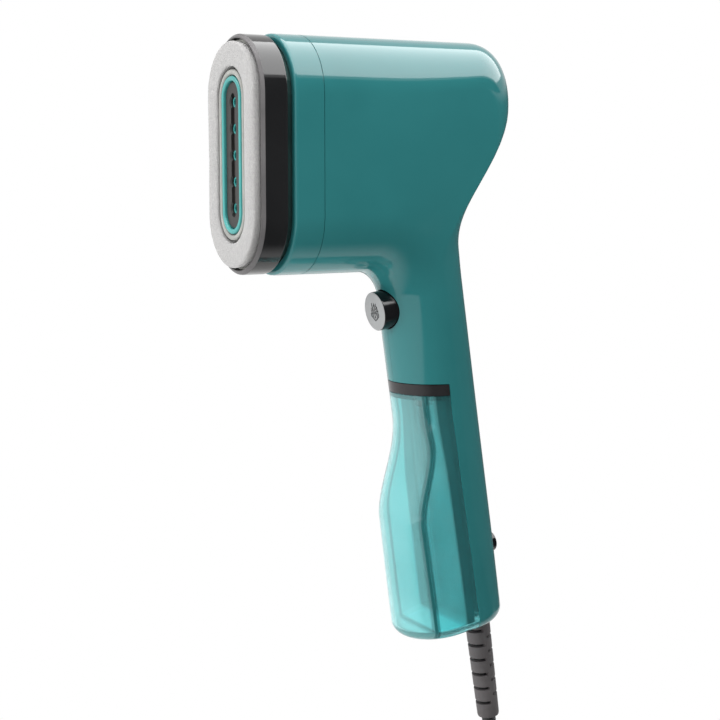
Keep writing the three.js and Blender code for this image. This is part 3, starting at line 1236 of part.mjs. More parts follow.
// Slotted sleeve: a neck in the housing's hole between a flange inside and the tapered part outside.
function strainRelief() {
  const bore = CORD_RADIUS + TOUCH;
  const under = -HANDLE_LENGTH - TOUCH;
  const flangeTop = RELIEF_TOP + RELIEF_FLANGE_THICKNESS;
  const profile = [
    [bore, flangeTop],
    [RELIEF_FLANGE, flangeTop],
    [RELIEF_FLANGE, RELIEF_TOP],
    [RELIEF_NECK, RELIEF_TOP],
    [RELIEF_NECK, under],
    [RELIEF_RADIUS, under - RELIEF_FIRST_SLOT + RELIEF_SLOT],
    [RELIEF_TIP_RADIUS, RELIEF_END],
    [bore, RELIEF_END],
    [bore, flangeTop],
  ];
  const slots = [];
  for (let i = 0; i < RELIEF_SLOTS; i++) {
    const side = i % 2 ? 1 : -1;
    const middle = under - RELIEF_FIRST_SLOT - i * RELIEF_PITCH;
    const across = [side * RELIEF_SPINE, side * 2 * RELIEF_RADIUS].sort((a, b) => a - b);
    const low = [-2 * RELIEF_RADIUS, across[0], middle - RELIEF_SLOT / 2];
    const high = [2 * RELIEF_RADIUS, across[1], middle + RELIEF_SLOT / 2];
    slots.push(solid(box(low, high)));
  }
  const sleeve = cut(solid(turned(profile, 'z', undefined, 12)), ...slots);
  return geometryOf(sleeve).translate(0, CORD_Y, 0);
}
part('strain_relief', strainRelief(), RUBBER, handle);

// Insulated wires from the lead, past the power switch and up to the board.
function mainsWires() {
  const [start, aside, rise] = WIRES_START;
  const [underY, underRise, behindY, below, above] = WIRES_POWER;
  const curve = smoothCurve([
    inHandle(0, CORD_Y, LEAD_TOP + TOUCH),
    inHandle(0, CORD_Y, LEAD_TOP + start),
    inHandle(0, CORD_Y - aside, LEAD_TOP + rise),
    inHandle(0, underY, LEAD_TOP + rise + underRise),
    inHandle(0, behindY, POWER_Z - below),
    inHandle(0, behindY, POWER_Z + above),
    ...WIRES_HANDLE.map((point) => inHandle(...point)),
    ...WIRES_BOARD.map(([x, y, up]) => [x, y, BOARD_BOTTOM + up]),
  ]);
  return drawn(curve, WIRES_RADIUS, 30, 0, 6);
}
part('mains_wires', mainsWires(), BLACK_MATT);

const clampBack = CLAMP_FACE_X + CLAMP_THICKNESS;
const clampBar = box(
  [CLAMP_FACE_X, CLAMP_SCREW_Y - CLAMP_HALF, CLAMP_Z - CLAMP_HALF],
  [clampBack, CLAMP_REST_Y - TOUCH, CLAMP_Z + CLAMP_HALF],
);
const clampHole = rod(SCREW_SHANK + SLIDE, 0, 2 * clampBack, 'x', [0, CLAMP_SCREW_Y, CLAMP_Z], 12);
part('cord_clamp', cut(solid(clampBar), solid(clampHole)), BLACK_MATT, handle);

// ---------------------------------------------------------------- lead put away

const reliefTip = fromHandle([CORD_Y, RELIEF_END - TOUCH]);
const HANK_TOP_Z = reliefTip[1] - HANK_DROP;
const HANK_HALF_WIDTH = FOLD_RADIUS + CORD_RADIUS;
const HANK_CENTRE_Z = HANK_TOP_Z - HANK_HALF_WIDTH - HANK_RUN / 2;

// Free stretch: out of the sleeve, down under its own weight and over to the hank's left side.
function freeLead() {
  const [y, z] = reliefTip;
  const points = [
    [0, y, z],
    ...FREE_BENDS.map(([dx, dy, dz]) => [dx, y + dy, z + dz]),
    [FREE_END_X, HANK_Y - 2 * CORD_RADIUS, HANK_TOP_Z + FREE_END_RISE],
  ];
  return drawn(smoothCurve(points), CORD_RADIUS, 12);
}
part('power_cord', freeLead(), BLACK_MATT);

// Outer form of the hank: round folds at both ends, drawn in at the tie.
function hankOutline() {
  const run = HANK_RUN / 2;
  const [pull, soft] = HANK_PULL;
  const outline = new THREE.Shape();
  outline.moveTo(HANK_WAIST, 0);
  outline.bezierCurveTo(HANK_WAIST, pull, HANK_HALF_WIDTH, soft, HANK_HALF_WIDTH, run);
  outline.absarc(0, run, HANK_HALF_WIDTH, 0, Math.PI, false);
  outline.bezierCurveTo(-HANK_HALF_WIDTH, soft, -HANK_WAIST, pull, -HANK_WAIST, 0);
  outline.bezierCurveTo(-HANK_WAIST, -pull, -HANK_HALF_WIDTH, -soft, -HANK_HALF_WIDTH, -run);
  outline.absarc(0, -run, HANK_HALF_WIDTH, Math.PI, 2 * Math.PI, false);
  outline.bezierCurveTo(HANK_HALF_WIDTH, -soft, HANK_WAIST, -pull, HANK_WAIST, 0);
  return outline;
}
const HANK_HALF_DEPTH = HANK_LAYERS * CORD_RADIUS + HANK_PLAY;
const hankSides = [HANK_Y - HANK_HALF_DEPTH, HANK_Y + HANK_HALF_DEPTH];
part('cord_hank', alongY(hankOutline(), ...hankSides, HANK_CENTRE_Z), BLACK_MATT);

// Strap round the hank's waist.
const tieInner = [HANK_WAIST + TIE_PLAY, HANK_HALF_DEPTH + TOUCH];
const tieOuter = tieInner.map((size) => size + TIE_WALL);
const tieBlock = ([x, y], half) =>
  solid(box([-x, HANK_Y - y, HANK_CENTRE_Z - half], [x, HANK_Y + y, HANK_CENTRE_Z + half]));
part('cord_tie', cut(tieBlock(tieOuter, TIE_HEIGHT / 2), tieBlock(tieInner, TIE_HEIGHT)), BLACK_MATT);

// Moulded plug hanging below the hank, pins down.
const PLUG_TOP = HANK_CENTRE_Z - HANK_RUN / 2 - HANK_HALF_WIDTH - TAIL_LENGTH;
const [collarTop, collarFoot, collarLength] = PLUG_COLLAR;
const plugProfile = [
  [0, 0],
  [CORD_RADIUS + collarTop, 0],
  [CORD_RADIUS + collarFoot, -collarLength],
  [PLUG_SHOULDER[0], -PLUG_SHOULDER[1]],
  [PLUG_CHEEK[0], -PLUG_CHEEK[1]],
  [PLUG_RADIUS, -PLUG_LENGTH + PLUG_EDGE[1]],
  [PLUG_RADIUS - PLUG_EDGE[0], -PLUG_LENGTH],
  [0, -PLUG_LENGTH],
];

function plugBody() {
  const body = turned(plugProfile, 'z', [0, 0, 0], 20).scale(1, PLUG_DEPTH / (2 * PLUG_RADIUS), 1);
  const socket = [-PLUG_LENGTH - 1, -PLUG_LENGTH + PIN_ROOT + 2 * TOUCH];
  const sockets = [-1, 1].map((side) =>
    solid(rod(PIN_RADIUS + TOUCH, ...socket, 'z', [(side * PIN_SPACING) / 2, 0, 0], 16)));
  return geometryOf(cut(solid(body), ...sockets)).translate(0, HANK_Y, PLUG_TOP);
}
part('mains_plug', plugBody(), BLACK_MATT);

const pinProfile = [
  [0, -PLUG_LENGTH - PIN_LENGTH],
  [PIN_RADIUS - PIN_TIP[0], -PLUG_LENGTH - PIN_LENGTH],
  [PIN_RADIUS, -PLUG_LENGTH - PIN_LENGTH + PIN_TIP[1]],
  [PIN_RADIUS, -PLUG_LENGTH + PIN_ROOT],
  [0, -PLUG_LENGTH + PIN_ROOT],
];
for (const [name, side] of [['plug_pin_left', -1], ['plug_pin_right', 1]]) {
  part(name, turned(pinProfile, 'z', [(side * PIN_SPACING) / 2, HANK_Y, PLUG_TOP], 16), STEEL);
}

const tailTop = HANK_CENTRE_Z - HANK_RUN / 2 - HANK_HALF_WIDTH - TOUCH;
part('cord_tail', rod(CORD_RADIUS, PLUG_TOP + TOUCH, tailTop, 'z', [0, HANK_Y, 0], 12), BLACK_MATT);

// ---------------------------------------------------------------- screws

// Pan-head screw along an axis: the head ends at the seat and the shank runs on from it.
function screw(name, seat, length, axis, at, parent, towards = 1) {
  const head = seat - towards * (TOUCH + SCREW_HEAD_HEIGHT);
  const under = seat - towards * TOUCH;
  const end = under + towards * length;
  const profile = [
    [0, head],
    [SCREW_HEAD, head],
    [SCREW_HEAD, under],
    [SCREW_SHANK, under],
    [SCREW_SHANK, end],
    [0, end],
  ];
  part(name, turned(profile, axis, at, 10), STEEL, parent);
}

Object.entries(SCREW_PLACES).forEach(([place, [y, z]]) => {
  screw(`housing_screw_${place}`, SCREW_SEAT_X, PILOT_DEPTH - SCREW_SEAT_X - PILOT_SPARE, 'x', [0, y, z]);
});
[['upper', 1], ['lower', -1]].forEach(([place, end]) => {
  screw(`bezel_screw_${place}`, POCKET_Y, FACE_SCREW_LENGTH, 'y', [0, 0, HEAD_CENTRE_Z + end * FACE_SCREW_Z]);
});
screw('clamp_screw', clampBack, CLAMP_SCREW_LENGTH, 'x', [0, CLAMP_SCREW_Y, CLAMP_Z], handle, -1);

export default steamer;
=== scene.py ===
import bmesh
import bpy
import numpy as np
from math import cos, pi, radians, sin
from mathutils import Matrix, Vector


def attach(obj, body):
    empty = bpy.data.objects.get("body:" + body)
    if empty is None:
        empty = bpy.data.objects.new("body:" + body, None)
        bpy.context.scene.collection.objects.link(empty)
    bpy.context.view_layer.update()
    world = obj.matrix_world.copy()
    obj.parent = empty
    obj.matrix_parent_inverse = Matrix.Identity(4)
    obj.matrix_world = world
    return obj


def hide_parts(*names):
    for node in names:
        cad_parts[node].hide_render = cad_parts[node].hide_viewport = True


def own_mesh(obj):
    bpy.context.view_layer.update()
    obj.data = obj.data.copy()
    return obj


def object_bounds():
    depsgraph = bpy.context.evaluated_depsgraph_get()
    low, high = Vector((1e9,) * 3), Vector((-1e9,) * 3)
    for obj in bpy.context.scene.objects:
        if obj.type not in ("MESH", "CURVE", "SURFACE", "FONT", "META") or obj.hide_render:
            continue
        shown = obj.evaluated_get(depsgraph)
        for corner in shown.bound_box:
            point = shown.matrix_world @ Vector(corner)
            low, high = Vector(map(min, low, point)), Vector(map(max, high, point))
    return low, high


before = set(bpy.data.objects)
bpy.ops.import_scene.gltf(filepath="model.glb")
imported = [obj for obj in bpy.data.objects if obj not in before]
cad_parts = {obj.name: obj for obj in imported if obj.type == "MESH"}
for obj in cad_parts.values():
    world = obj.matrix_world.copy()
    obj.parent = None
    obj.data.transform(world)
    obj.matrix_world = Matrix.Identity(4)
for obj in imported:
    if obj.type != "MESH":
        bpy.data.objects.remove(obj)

CAD_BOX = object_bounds()

# ---------------- the studio
# A pale floor that runs out into white, a large soft light overhead with a key and small fills, and
# dark cards to the right, behind and below that give the gloss its depth. The camera stands a little
# above the grip, to the right of the steamer and ahead of it.
scene = bpy.context.scene
scene.view_settings.view_transform = "Standard"

camera_data = bpy.data.cameras.new("camera")
camera_data.lens = 75
camera_data.sensor_width = 36
camera_data.clip_start = 0.01
camera = bpy.data.objects.new("camera", camera_data)
camera.location = (0.5438, -0.3474, 0.0782)
camera.rotation_euler = (radians(82.7), 0, radians(60))
scene.collection.objects.link(camera)
scene.camera = camera


def srgb(text):
    """Hex colour to linear: each channel c becomes c/12.92 below 0.04045 and ((c + 0.055)/1.055)^2.4 above."""
    c = np.array([int(text[i:i + 2], 16) for i in (1, 3, 5)]) / 255
    linear = np.where(c <= 0.04045, c / 12.92, ((c + 0.055) / 1.055) ** 2.4)
    return (*linear.tolist(), 1.0)


def add(tree, kind, inputs=None, **settings):
    """Adds one shader node; inputs are the values or links of its sockets, settings its properties."""
    node = tree.nodes.new("ShaderNode" + kind)
    for name, value in settings.items():
        setattr(node, name, value)
    for name, value in (inputs or {}).items():
        if isinstance(value, bpy.types.NodeSocket):
            tree.links.new(value, node.inputs[name])
        else:
            node.inputs[name].default_value = value
    return node


def surface(name, points, round_rows=False, round_columns=True, caps=False, scale=0.001):
    """Mesh over a grid of points in millimetres, rows by columns; caps close its first and last row."""
    rows, columns = points.shape[:2]
    i = np.arange(rows if round_rows else rows - 1)[:, None]
    j = np.arange(columns if round_columns else columns - 1)[None, :]
    below, beside = (i + 1) % rows, (j + 1) % columns
    quads = np.stack([i * columns + j, i * columns + beside, below * columns + beside, below * columns + j], -1)
    faces = quads.reshape(-1, 4).tolist()
    if caps:
        faces.append(list(range(columns))[::-1])
        faces.append(list(range((rows - 1) * columns, rows * columns)))
    mesh = bpy.data.meshes.new(name)
    mesh.from_pydata((points.reshape(-1, 3) * scale).tolist(), [], faces)
    if signed_volume(mesh) < 0:
        mesh.flip_normals()
    mesh.shade_smooth()
    obj = bpy.data.objects.new(name, mesh)
    scene.collection.objects.link(obj)
    return obj


def signed_volume(mesh):
    """Sum over the triangles of a . (b x c) / 6, which is above zero where faces point outwards."""
    mesh.calc_loop_triangles()
    corners = np.empty(len(mesh.vertices) * 3)
    mesh.vertices.foreach_get("co", corners)
    index = np.empty(len(mesh.loop_triangles) * 3, np.int32)
    mesh.loop_triangles.foreach_get("vertices", index)
    a, b, c = np.moveaxis(corners.reshape(-1, 3)[index].reshape(-1, 3, 3), 1, 0)
    return float(np.einsum("ij,ij->", a, np.cross(b, c))) / 6


def card(name, corner, side_a, side_b):
    """Flat card of four points, in metres: corner + s a + t b for s and t of 0 and 1."""
    a, b = np.array(side_a), np.array(side_b)
    obj = surface(name, np.array(corner) + np.array([[0 * a, b], [a, a + b]]), round_columns=False, scale=1)
    return obj


def blank(name):
    """A material with an empty node tree and its output."""
    material = bpy.data.materials.new(name)
    material.use_nodes = True
    material.node_tree.nodes.clear()
    output = add(material.node_tree, "OutputMaterial")
    return material, material.node_tree, output


FLOOR_Z = CAD_BOX[0][2] - 0.0002
floor = card("floor", (-6, -6, FLOOR_Z), (12, 0, 0), (0, 12, 0))
paper, tree, output = blank("white_paper_floor")
place = add(tree, "TexCoord").outputs["Object"]
away = add(tree, "VectorMath", {0: place}, operation="LENGTH")
fade = add(tree, "MapRange", {"Value": away.outputs["Value"], "From Min": 0.45, "From Max": 0.8},
           interpolation_type="SMOOTHSTEP")
tone = add(tree, "BsdfDiffuse", {"Color": srgb("#f2f2f0")})
white = add(tree, "Emission", {"Color": (1, 1, 1, 1), "Strength": 1.0})
mixed = add(tree, "MixShader", {0: fade.outputs[0], 1: tone.outputs[0], 2: white.outputs[0]})
tree.links.new(mixed.outputs[0], output.inputs["Surface"])
floor.data.materials.append(paper)

world = bpy.data.worlds.new("studio")
scene.world = world
world.use_nodes = True
tree = world.node_tree
tree.nodes.clear()
rays = add(tree, "LightPath")
seen = add(tree, "Math", {0: rays.outputs["Is Camera Ray"], 1: rays.outputs["Is Glossy Ray"]}, operation="MAXIMUM")
seen = add(tree, "Math", {0: seen.outputs[0], 1: rays.outputs["Is Transmission Ray"]}, operation="MAXIMUM")
level = add(tree, "MapRange", {"Value": seen.outputs[0], "To Min": 0.36, "To Max": 1.0})
sky = add(tree, "Background", {"Color": (1, 1, 1, 1), "Strength": level.outputs[0]})
add(tree, "OutputWorld", {"Surface": sky.outputs[0]})


def soft_light(name, place, turn, size, power, diffuse=True, glossy=True):
    """Rectangular lamp: size across and along, its power in watts, and which rays see it."""
    lamp = bpy.data.lights.new(name, "AREA")
    lamp.shape = "RECTANGLE"
    lamp.size, lamp.size_y = size
    lamp.energy = power
    obj = bpy.data.objects.new(name, lamp)
    obj.location = place
    obj.rotation_euler = turn
    obj.visible_diffuse = diffuse
    obj.visible_glossy = glossy
    obj.visible_transmission = glossy
    obj.visible_camera = False
    scene.collection.objects.link(obj)


# The ceiling panel gives no diffuse light; in the gloss its edges draw the band along the crown. The key
# gives the plain level, two fills lift the front and the underside, and a strip the crown's right side.
CEILING = 1.1  # height of the panel
PANEL = (1.65 * CEILING, 3.6 * CEILING)
soft_light("ceiling_panel", (0.345 * CEILING, 0.9 * CEILING, CEILING), (0, 0, 0), PANEL,
           4.6 * pi * 1.65 * 3.6 * CEILING ** 2, diffuse=False)
soft_light("key", (0.1, -0.35, 1.3), (radians(15), radians(4), 0), (1.4, 1.4), 17, glossy=False)
soft_light("front_fill", (-0.1, -1.5, 0.35), (radians(78), 0, 0), (1.2, 1.2), 21, glossy=False)
soft_light("under_fill", (-0.42, -0.1, -0.4), (pi, 0, 0), (0.8, 0.8), 3, glossy=False)
soft_light("crown_strip", (0.19, 0.05, 0.33), (0, radians(40), 0), (0.06, 0.5), 0.85, glossy=False)

# Dark cards stand to the right and behind and lie below on that side; only gloss sees them. Each fades
# out of white along one axis, so that its edge there draws no line.
for name, corner, side_a, side_b, axis, white_at, dark_at, tone in (
        ("side_card", (1.6, -5.0, -0.43), (0, 17, 0), (0, 0, 1.55), "Y", -3.5, -0.5, "#353b3c"),
        ("back_card", (1.6, 1.7, -0.43), (-3.6, -1.0, 0), (0, 0, 0.8), "Z", 0.37, 0.2, "#5c6868"),
        ("low_card", (0.0, -0.9, FLOOR_Z + 0.0001), (1.6, 0, 0), (0, 13, 0), "X", 0.03, 0.36, "#353b3c")):
    grey, tree, output = blank(name + "_paint")
    place = add(tree, "TexCoord").outputs["Object"]
    along = add(tree, "SeparateXYZ", {0: place})
    fade = add(tree, "MapRange", {"Value": along.outputs[axis], "From Min": white_at, "From Max": dark_at},
               interpolation_type="SMOOTHSTEP")
    grade = add(tree, "Mix", {0: fade.outputs[0], 6: srgb("#ffffff"), 7: srgb(tone)}, data_type="RGBA")
    dull = add(tree, "Emission", {"Color": grade.outputs[2], "Strength": 1.0})
    tree.links.new(dull.outputs[0], output.inputs["Surface"])
    flag = card(name, corner, side_a, side_b)
    flag.data.materials.append(grey)
    for ray in ("camera", "diffuse", "transmission", "shadow", "volume_scatter"):
        setattr(flag, "visible_" + ray, False)

# ---------------- mains lead, put away
# Round flexible lead in black PVC, about 2 m of it. It hangs out of the sleeve at the handle's foot
# and the rest is folded into a hank of five turns and a half under the steamer, held by a rubber tie.
CORD = 6.4  # diameter
RELIEF_TIP = (0.0, 34.605, -170.66)
HANK_Y = 36.5
HANK_Z = -283.76
FOLD = 25.6  # radius of the outer folds' line
HALF_RUN = 50.0
WAIST = 9.9  # x of the outer turns' line under the tie
RUN = 107  # length of the line between two folds, past the waist


def bezier(a, b, c, d, steps):
    """Cubic curve: (1-t)^3 a + 3(1-t)^2 t b + 3(1-t) t^2 c + t^3 d."""
    t = np.linspace(0, 1, steps + 1)[:, None]
    a, b, c, d = (np.array(p, float) for p in (a, b, c, d))
    return (1 - t) ** 3 * a + 3 * (1 - t) ** 2 * t * b + 3 * (1 - t) * t ** 2 * c + t ** 3 * d


def smooth(t):
    """3t^2 - 2t^3, held to 0 and 1 outside."""
    t = np.clip(t, 0, 1)
    return t * t * (3 - 2 * t)


def respaced(points, step):
    """The same line with its points a step apart."""
    gaps = np.linalg.norm(np.diff(points, axis=0), axis=1)
    along = np.concatenate([[0], np.cumsum(gaps)])
    count = max(2, int(round(along[-1] / step)) + 1)
    at = np.linspace(0, along[-1], count)
    return np.stack([np.interp(at, along, points[:, k]) for k in range(points.shape[1])], 1)


def tube(name, path, radius, sides):
    """Round section carried along a path: p + r (cos v . side + sin v . across), side = tangent x Y."""
    tangent = np.gradient(path, axis=0)
    tangent /= np.linalg.norm(tangent, axis=1)[:, None]
    side = np.cross(tangent, [0, 1, 0])
    side /= np.linalg.norm(side, axis=1)[:, None]
    across = np.cross(side, tangent)
    turn = np.linspace(0, 2 * pi, sides, endpoint=False)
    ring = np.cos(turn)[None, :, None] * side[:, None] + np.sin(turn)[None, :, None] * across[:, None]
    return surface(name, path[:, None] + radius * ring, caps=True)


# One turn of the outer lane, from the top fold's right end: over the top, down the left, round and up.
turn = np.radians(np.linspace(0, 180, 61))[:, None]
top_fold = np.hstack([FOLD * np.cos(turn), HALF_RUN + FOLD * np.sin(turn)])
left_down = np.vstack([
    bezier((-FOLD, HALF_RUN), (-FOLD, 32), (-WAIST, 18), (-WAIST, 0), 40)[1:],
    bezier((-WAIST, 0), (-WAIST, -18), (-FOLD, -32), (-FOLD, -HALF_RUN), 40)[1:],
])
lane = respaced(np.vstack([top_fold, left_down, -top_fold[1:], -left_down]), 1.0)[:-1]
lane_turn = len(lane)  # steps of about a millimetre
lane_tangent = np.roll(lane, -1, 0) - np.roll(lane, 1, 0)
lane_tangent /= np.linalg.norm(lane_tangent, axis=1)[:, None]
lane_inward = np.stack([-lane_tangent[:, 1], lane_tangent[:, 0]], 1)

# Each turn has its own place in the bundle: how far inside the outer lane, and its layer.
places = np.array([(0, -1), (1, -1), (1, 0), (1, 1), (0, 1), (0, 0)]) * CORD
start = int(lane_turn * (FOLD * radians(150)) / (2 * pi * FOLD + 2 * RUN))
leave = 5 * lane_turn + int(FOLD * pi + RUN + FOLD * radians(60))
step = np.arange(start, leave)
spot = step % lane_turn
number = step // lane_turn
# On the way up on the right a turn changes place over 32 mm, 16 mm sooner than the turn before it.
up_start = int(2 * FOLD * pi + RUN)
moved = smooth((spot - up_start - 6 - (4 - np.minimum(number, 4)) * 16) / 32)
here, following = places[np.minimum(number, 5)], places[np.minimum(number + 1, 5)]
offset = here + moved[:, None] * (following - here)
flat = lane[spot] + offset[:, :1] * lane_inward[spot]
hank = np.stack([flat[:, 0], HANK_Y + offset[:, 1], HANK_Z + flat[:, 1]], 1)

tip = np.array(RELIEF_TIP)
free = tip + [(0, 0, 0), (0, 0.6, -4), (0, 1.1, -9), (-0.6, 0.9, -15), (-2.4, -0.6, -22), (-5.4, -2.6, -28.5)]
entry = bezier(free[-1], free[-1] + np.array([-3.2, -1.9, -5.4]),
               hank[0] - 9 * np.array([-0.5, 0, -0.866]), hank[0], 20)
tail = bezier(hank[-1], hank[-1] + 8 * (hank[-1] - hank[-3]) / np.linalg.norm(hank[-1] - hank[-3]),
              (0, HANK_Y, -366.0), (0, HANK_Y, -374.4), 24)
# The ways in and out of the hank are joined to it and the joins smoothed by a moving mean.
lead_path = respaced(np.vstack([free[:-1], entry, hank[1:], tail[1:]]), 1.0)
for _ in range(14):
    lead_path[1:-1] = 0.5 * lead_path[1:-1] + 0.25 * (lead_path[:-2] + lead_path[2:])
lead_path = respaced(lead_path, 2.2)

lead = tube("mains_lead", lead_path, CORD / 2, 16)


def finish(name, colour, roughness, **sockets):
    """A material with one Principled shader; underscores in the socket names stand for spaces."""
    material, tree, output = blank(name)
    values = {"Base Color": srgb(colour), "Roughness": roughness}
    values.update({key.replace("_", " "): value for key, value in sockets.items()})
    shader = add(tree, "BsdfPrincipled", values)
    tree.links.new(shader.outputs[0], output.inputs["Surface"])
    return material, tree, shader


def moulded(name, colour, roughness, tones, gloss, patch, grain, depth, **sockets):
    """A finish whose colour drifts between two tones and whose roughness drifts between two values over
    patches of a size in millimetres; a grain of another size and depth, in millimetres, lifts it."""
    material, tree, shader = finish(name, colour, roughness, **sockets)
    place = add(tree, "TexCoord").outputs["Object"]
    drift = add(tree, "TexNoise", {"Vector": place, "Scale": 1000 / patch, "Detail": 3.0, "Roughness": 0.6})
    share = add(tree, "MapRange", {"Value": drift.outputs[0], "From Min": 0.3, "From Max": 0.7})
    colour = add(tree, "Mix", {0: share.outputs[0], 6: srgb(tones[0]), 7: srgb(tones[1])}, data_type="RGBA")
    tree.links.new(colour.outputs[2], shader.inputs["Base Color"])
    dull = add(tree, "MapRange", {"Value": drift.outputs[0], "From Min": 0.3, "From Max": 0.7,
                                  "To Min": gloss[0], "To Max": gloss[1]})
    tree.links.new(dull.outputs[0], shader.inputs["Roughness"])
    skin = add(tree, "TexNoise", {"Vector": place, "Scale": 1000 / grain, "Detail": 2.0})
    bump = add(tree, "Bump", {"Height": skin.outputs[0], "Distance": depth / 1000, "Strength": 0.5})
    tree.links.new(bump.outputs[0], shader.inputs["Normal"])
    return material


# Black PVC, extruded over the cores: satin, with a fine drag along it and a little dust grey.
pvc = moulded("black_pvc_extruded", "#232324", 0.45, ("#1d1d1e", "#2b2b2c"), (0.38, 0.52), 26, 0.7, 0.05,
              Specular_IOR_Level=0.45)
lead.data.materials.append(pvc)
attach(lead, "housing")
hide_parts("power_cord", "cord_hank", "cord_tail")


# Strap of soft black rubber round the hank's waist, with rounded edges.
TIE_HALF = (15.9, 11.7)
TIE_CORNER = 8.2


def rounded_loop(half_x, half_y, corner, steps):
    """Rectangle with round corners, as x and y: each corner is an arc about its own centre."""
    turn = np.linspace(0, pi / 2, steps)
    quarter = np.stack([half_x - corner + corner * np.cos(turn), half_y - corner + corner * np.sin(turn)], 1)
    return np.vstack([quarter, quarter[::-1] * (-1, 1), -quarter, quarter[::-1] * (1, -1)])


# Each row of the strap is the loop set in by some millimetres at some height.
strap_edge = np.array([(0, -5.1), (0, 5.1), (0.25, 5.7), (0.8, 6.0), (1.35, 5.7), (1.6, 5.1),
                       (1.6, -5.1), (1.35, -5.7), (0.8, -6.0), (0.25, -5.7)])
rows = [np.column_stack([rounded_loop(TIE_HALF[0] - i, TIE_HALF[1] - i, TIE_CORNER - i, 12) + (0, HANK_Y),
                         np.full(48, HANK_Z + z)]) for i, z in strap_edge]
tie = surface("cord_strap", np.array(rows), round_rows=True)
rubber = moulded("moulded_black_rubber", "#4b4849", 0.6, ("#444142", "#545051"), (0.52, 0.7), 30, 0.9, 0.06,
                 Specular_IOR_Level=0.4)
tie.data.materials.append(rubber)
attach(tie, "housing")
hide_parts("cord_tie")

# Moulded two-pin plug: one shot of black PVC round the pins' carrier, with grip ribs on its waist.
PLUG_TOP = -374.56
plug_line = np.array([(3.3, 0.0), (4.1, 0.0), (4.6, -0.5), (4.8, -3.4), (5.1, -6.2), (5.5, -9.4), (6.2, -12.2),
                      (8.9, -14.2), (12.25, -16.2), (14.3, -18.4), (14.8, -19.3), (15.2, -19.4),
                      (15.8, -20.6), (16.0, -21.9), (16.5, -22.0), (16.9, -23.2), (16.9, -24.5), (17.1, -24.6),
                      (17.4, -25.9), (17.5, -27.4), (17.5, -33.6), (17.2, -35.0), (16.4, -35.8), (15.4, -36.0),
                      (0.02, -36.0)])
plug_line = np.vstack([plug_line, (0.02, -2.0), (3.3, -2.0)])
turn = np.linspace(0, 2 * pi, 72, endpoint=False)
plug_rows = np.stack([plug_line[:, :1] * np.cos(turn), HANK_Y + 0.7 * plug_line[:, :1] * np.sin(turn),
                      np.broadcast_to(PLUG_TOP + plug_line[:, 1:], (len(plug_line), len(turn)))], -1)
plug = surface("plug_body", plug_rows, round_rows=True)
plug.data.materials.append(rubber)
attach(plug, "housing")
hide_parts("mains_plug")

# Two nickel-plated brass pins, turned, with bevelled ends.
nickel = moulded("nickel_plated_brass", "#c9c5bd", 0.28, ("#c3beb4", "#d2cfc8"), (0.2, 0.34), 9, 0.5, 0.01,
                 Metallic=1.0)


def dress(material, *nodes):
    """A CAD node keeps its shape and takes this finish."""
    for node in nodes:
        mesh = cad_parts[node].data
        mesh.materials.clear()
        mesh.materials.append(material)


dress(nickel, "plug_pin_left", "plug_pin_right")


# ---------------- housing: two half shells
# Injection-moulded ABS in teal with a polished skin, 2.2 mm thick, split down the middle and closed
# by five screws from the left. One half holds the ribs and bosses that carry the pump and the switches.
LEAN = radians(8.5)
HEAD_WIDTH, HEAD_TOP, HEAD_FOOT = 49.0, 131.1, 35.0
HEAD_MIDDLE = (HEAD_TOP + HEAD_FOOT) / 2
SEAM_Y = -63.3
GRIP_HALF = 18.5
GRIP_WIDTH, END_WIDTH, END_ROUND = 36.4, 40.4, 5.5
BELLY_Y = -32  # of the tank's front at the foot
LEAD_Y = 9  # where the lead leaves the foot
FILLET = 13.2
HANDLE = 123.6
BAND_TOP = -12.6
SPLIT_Y = -2.0


def upright(points, lean=LEAN):
    """Points of the leaning handle in the upright frame: y cos a - z sin a and y sin a + z cos a."""
    points = np.asarray(points, float)
    y, z = points[..., -2], points[..., -1]
    turned = points.copy()
    turned[..., -2] = y * cos(lean) - z * sin(lean)
    turned[..., -1] = y * sin(lean) + z * cos(lean)
    return turned


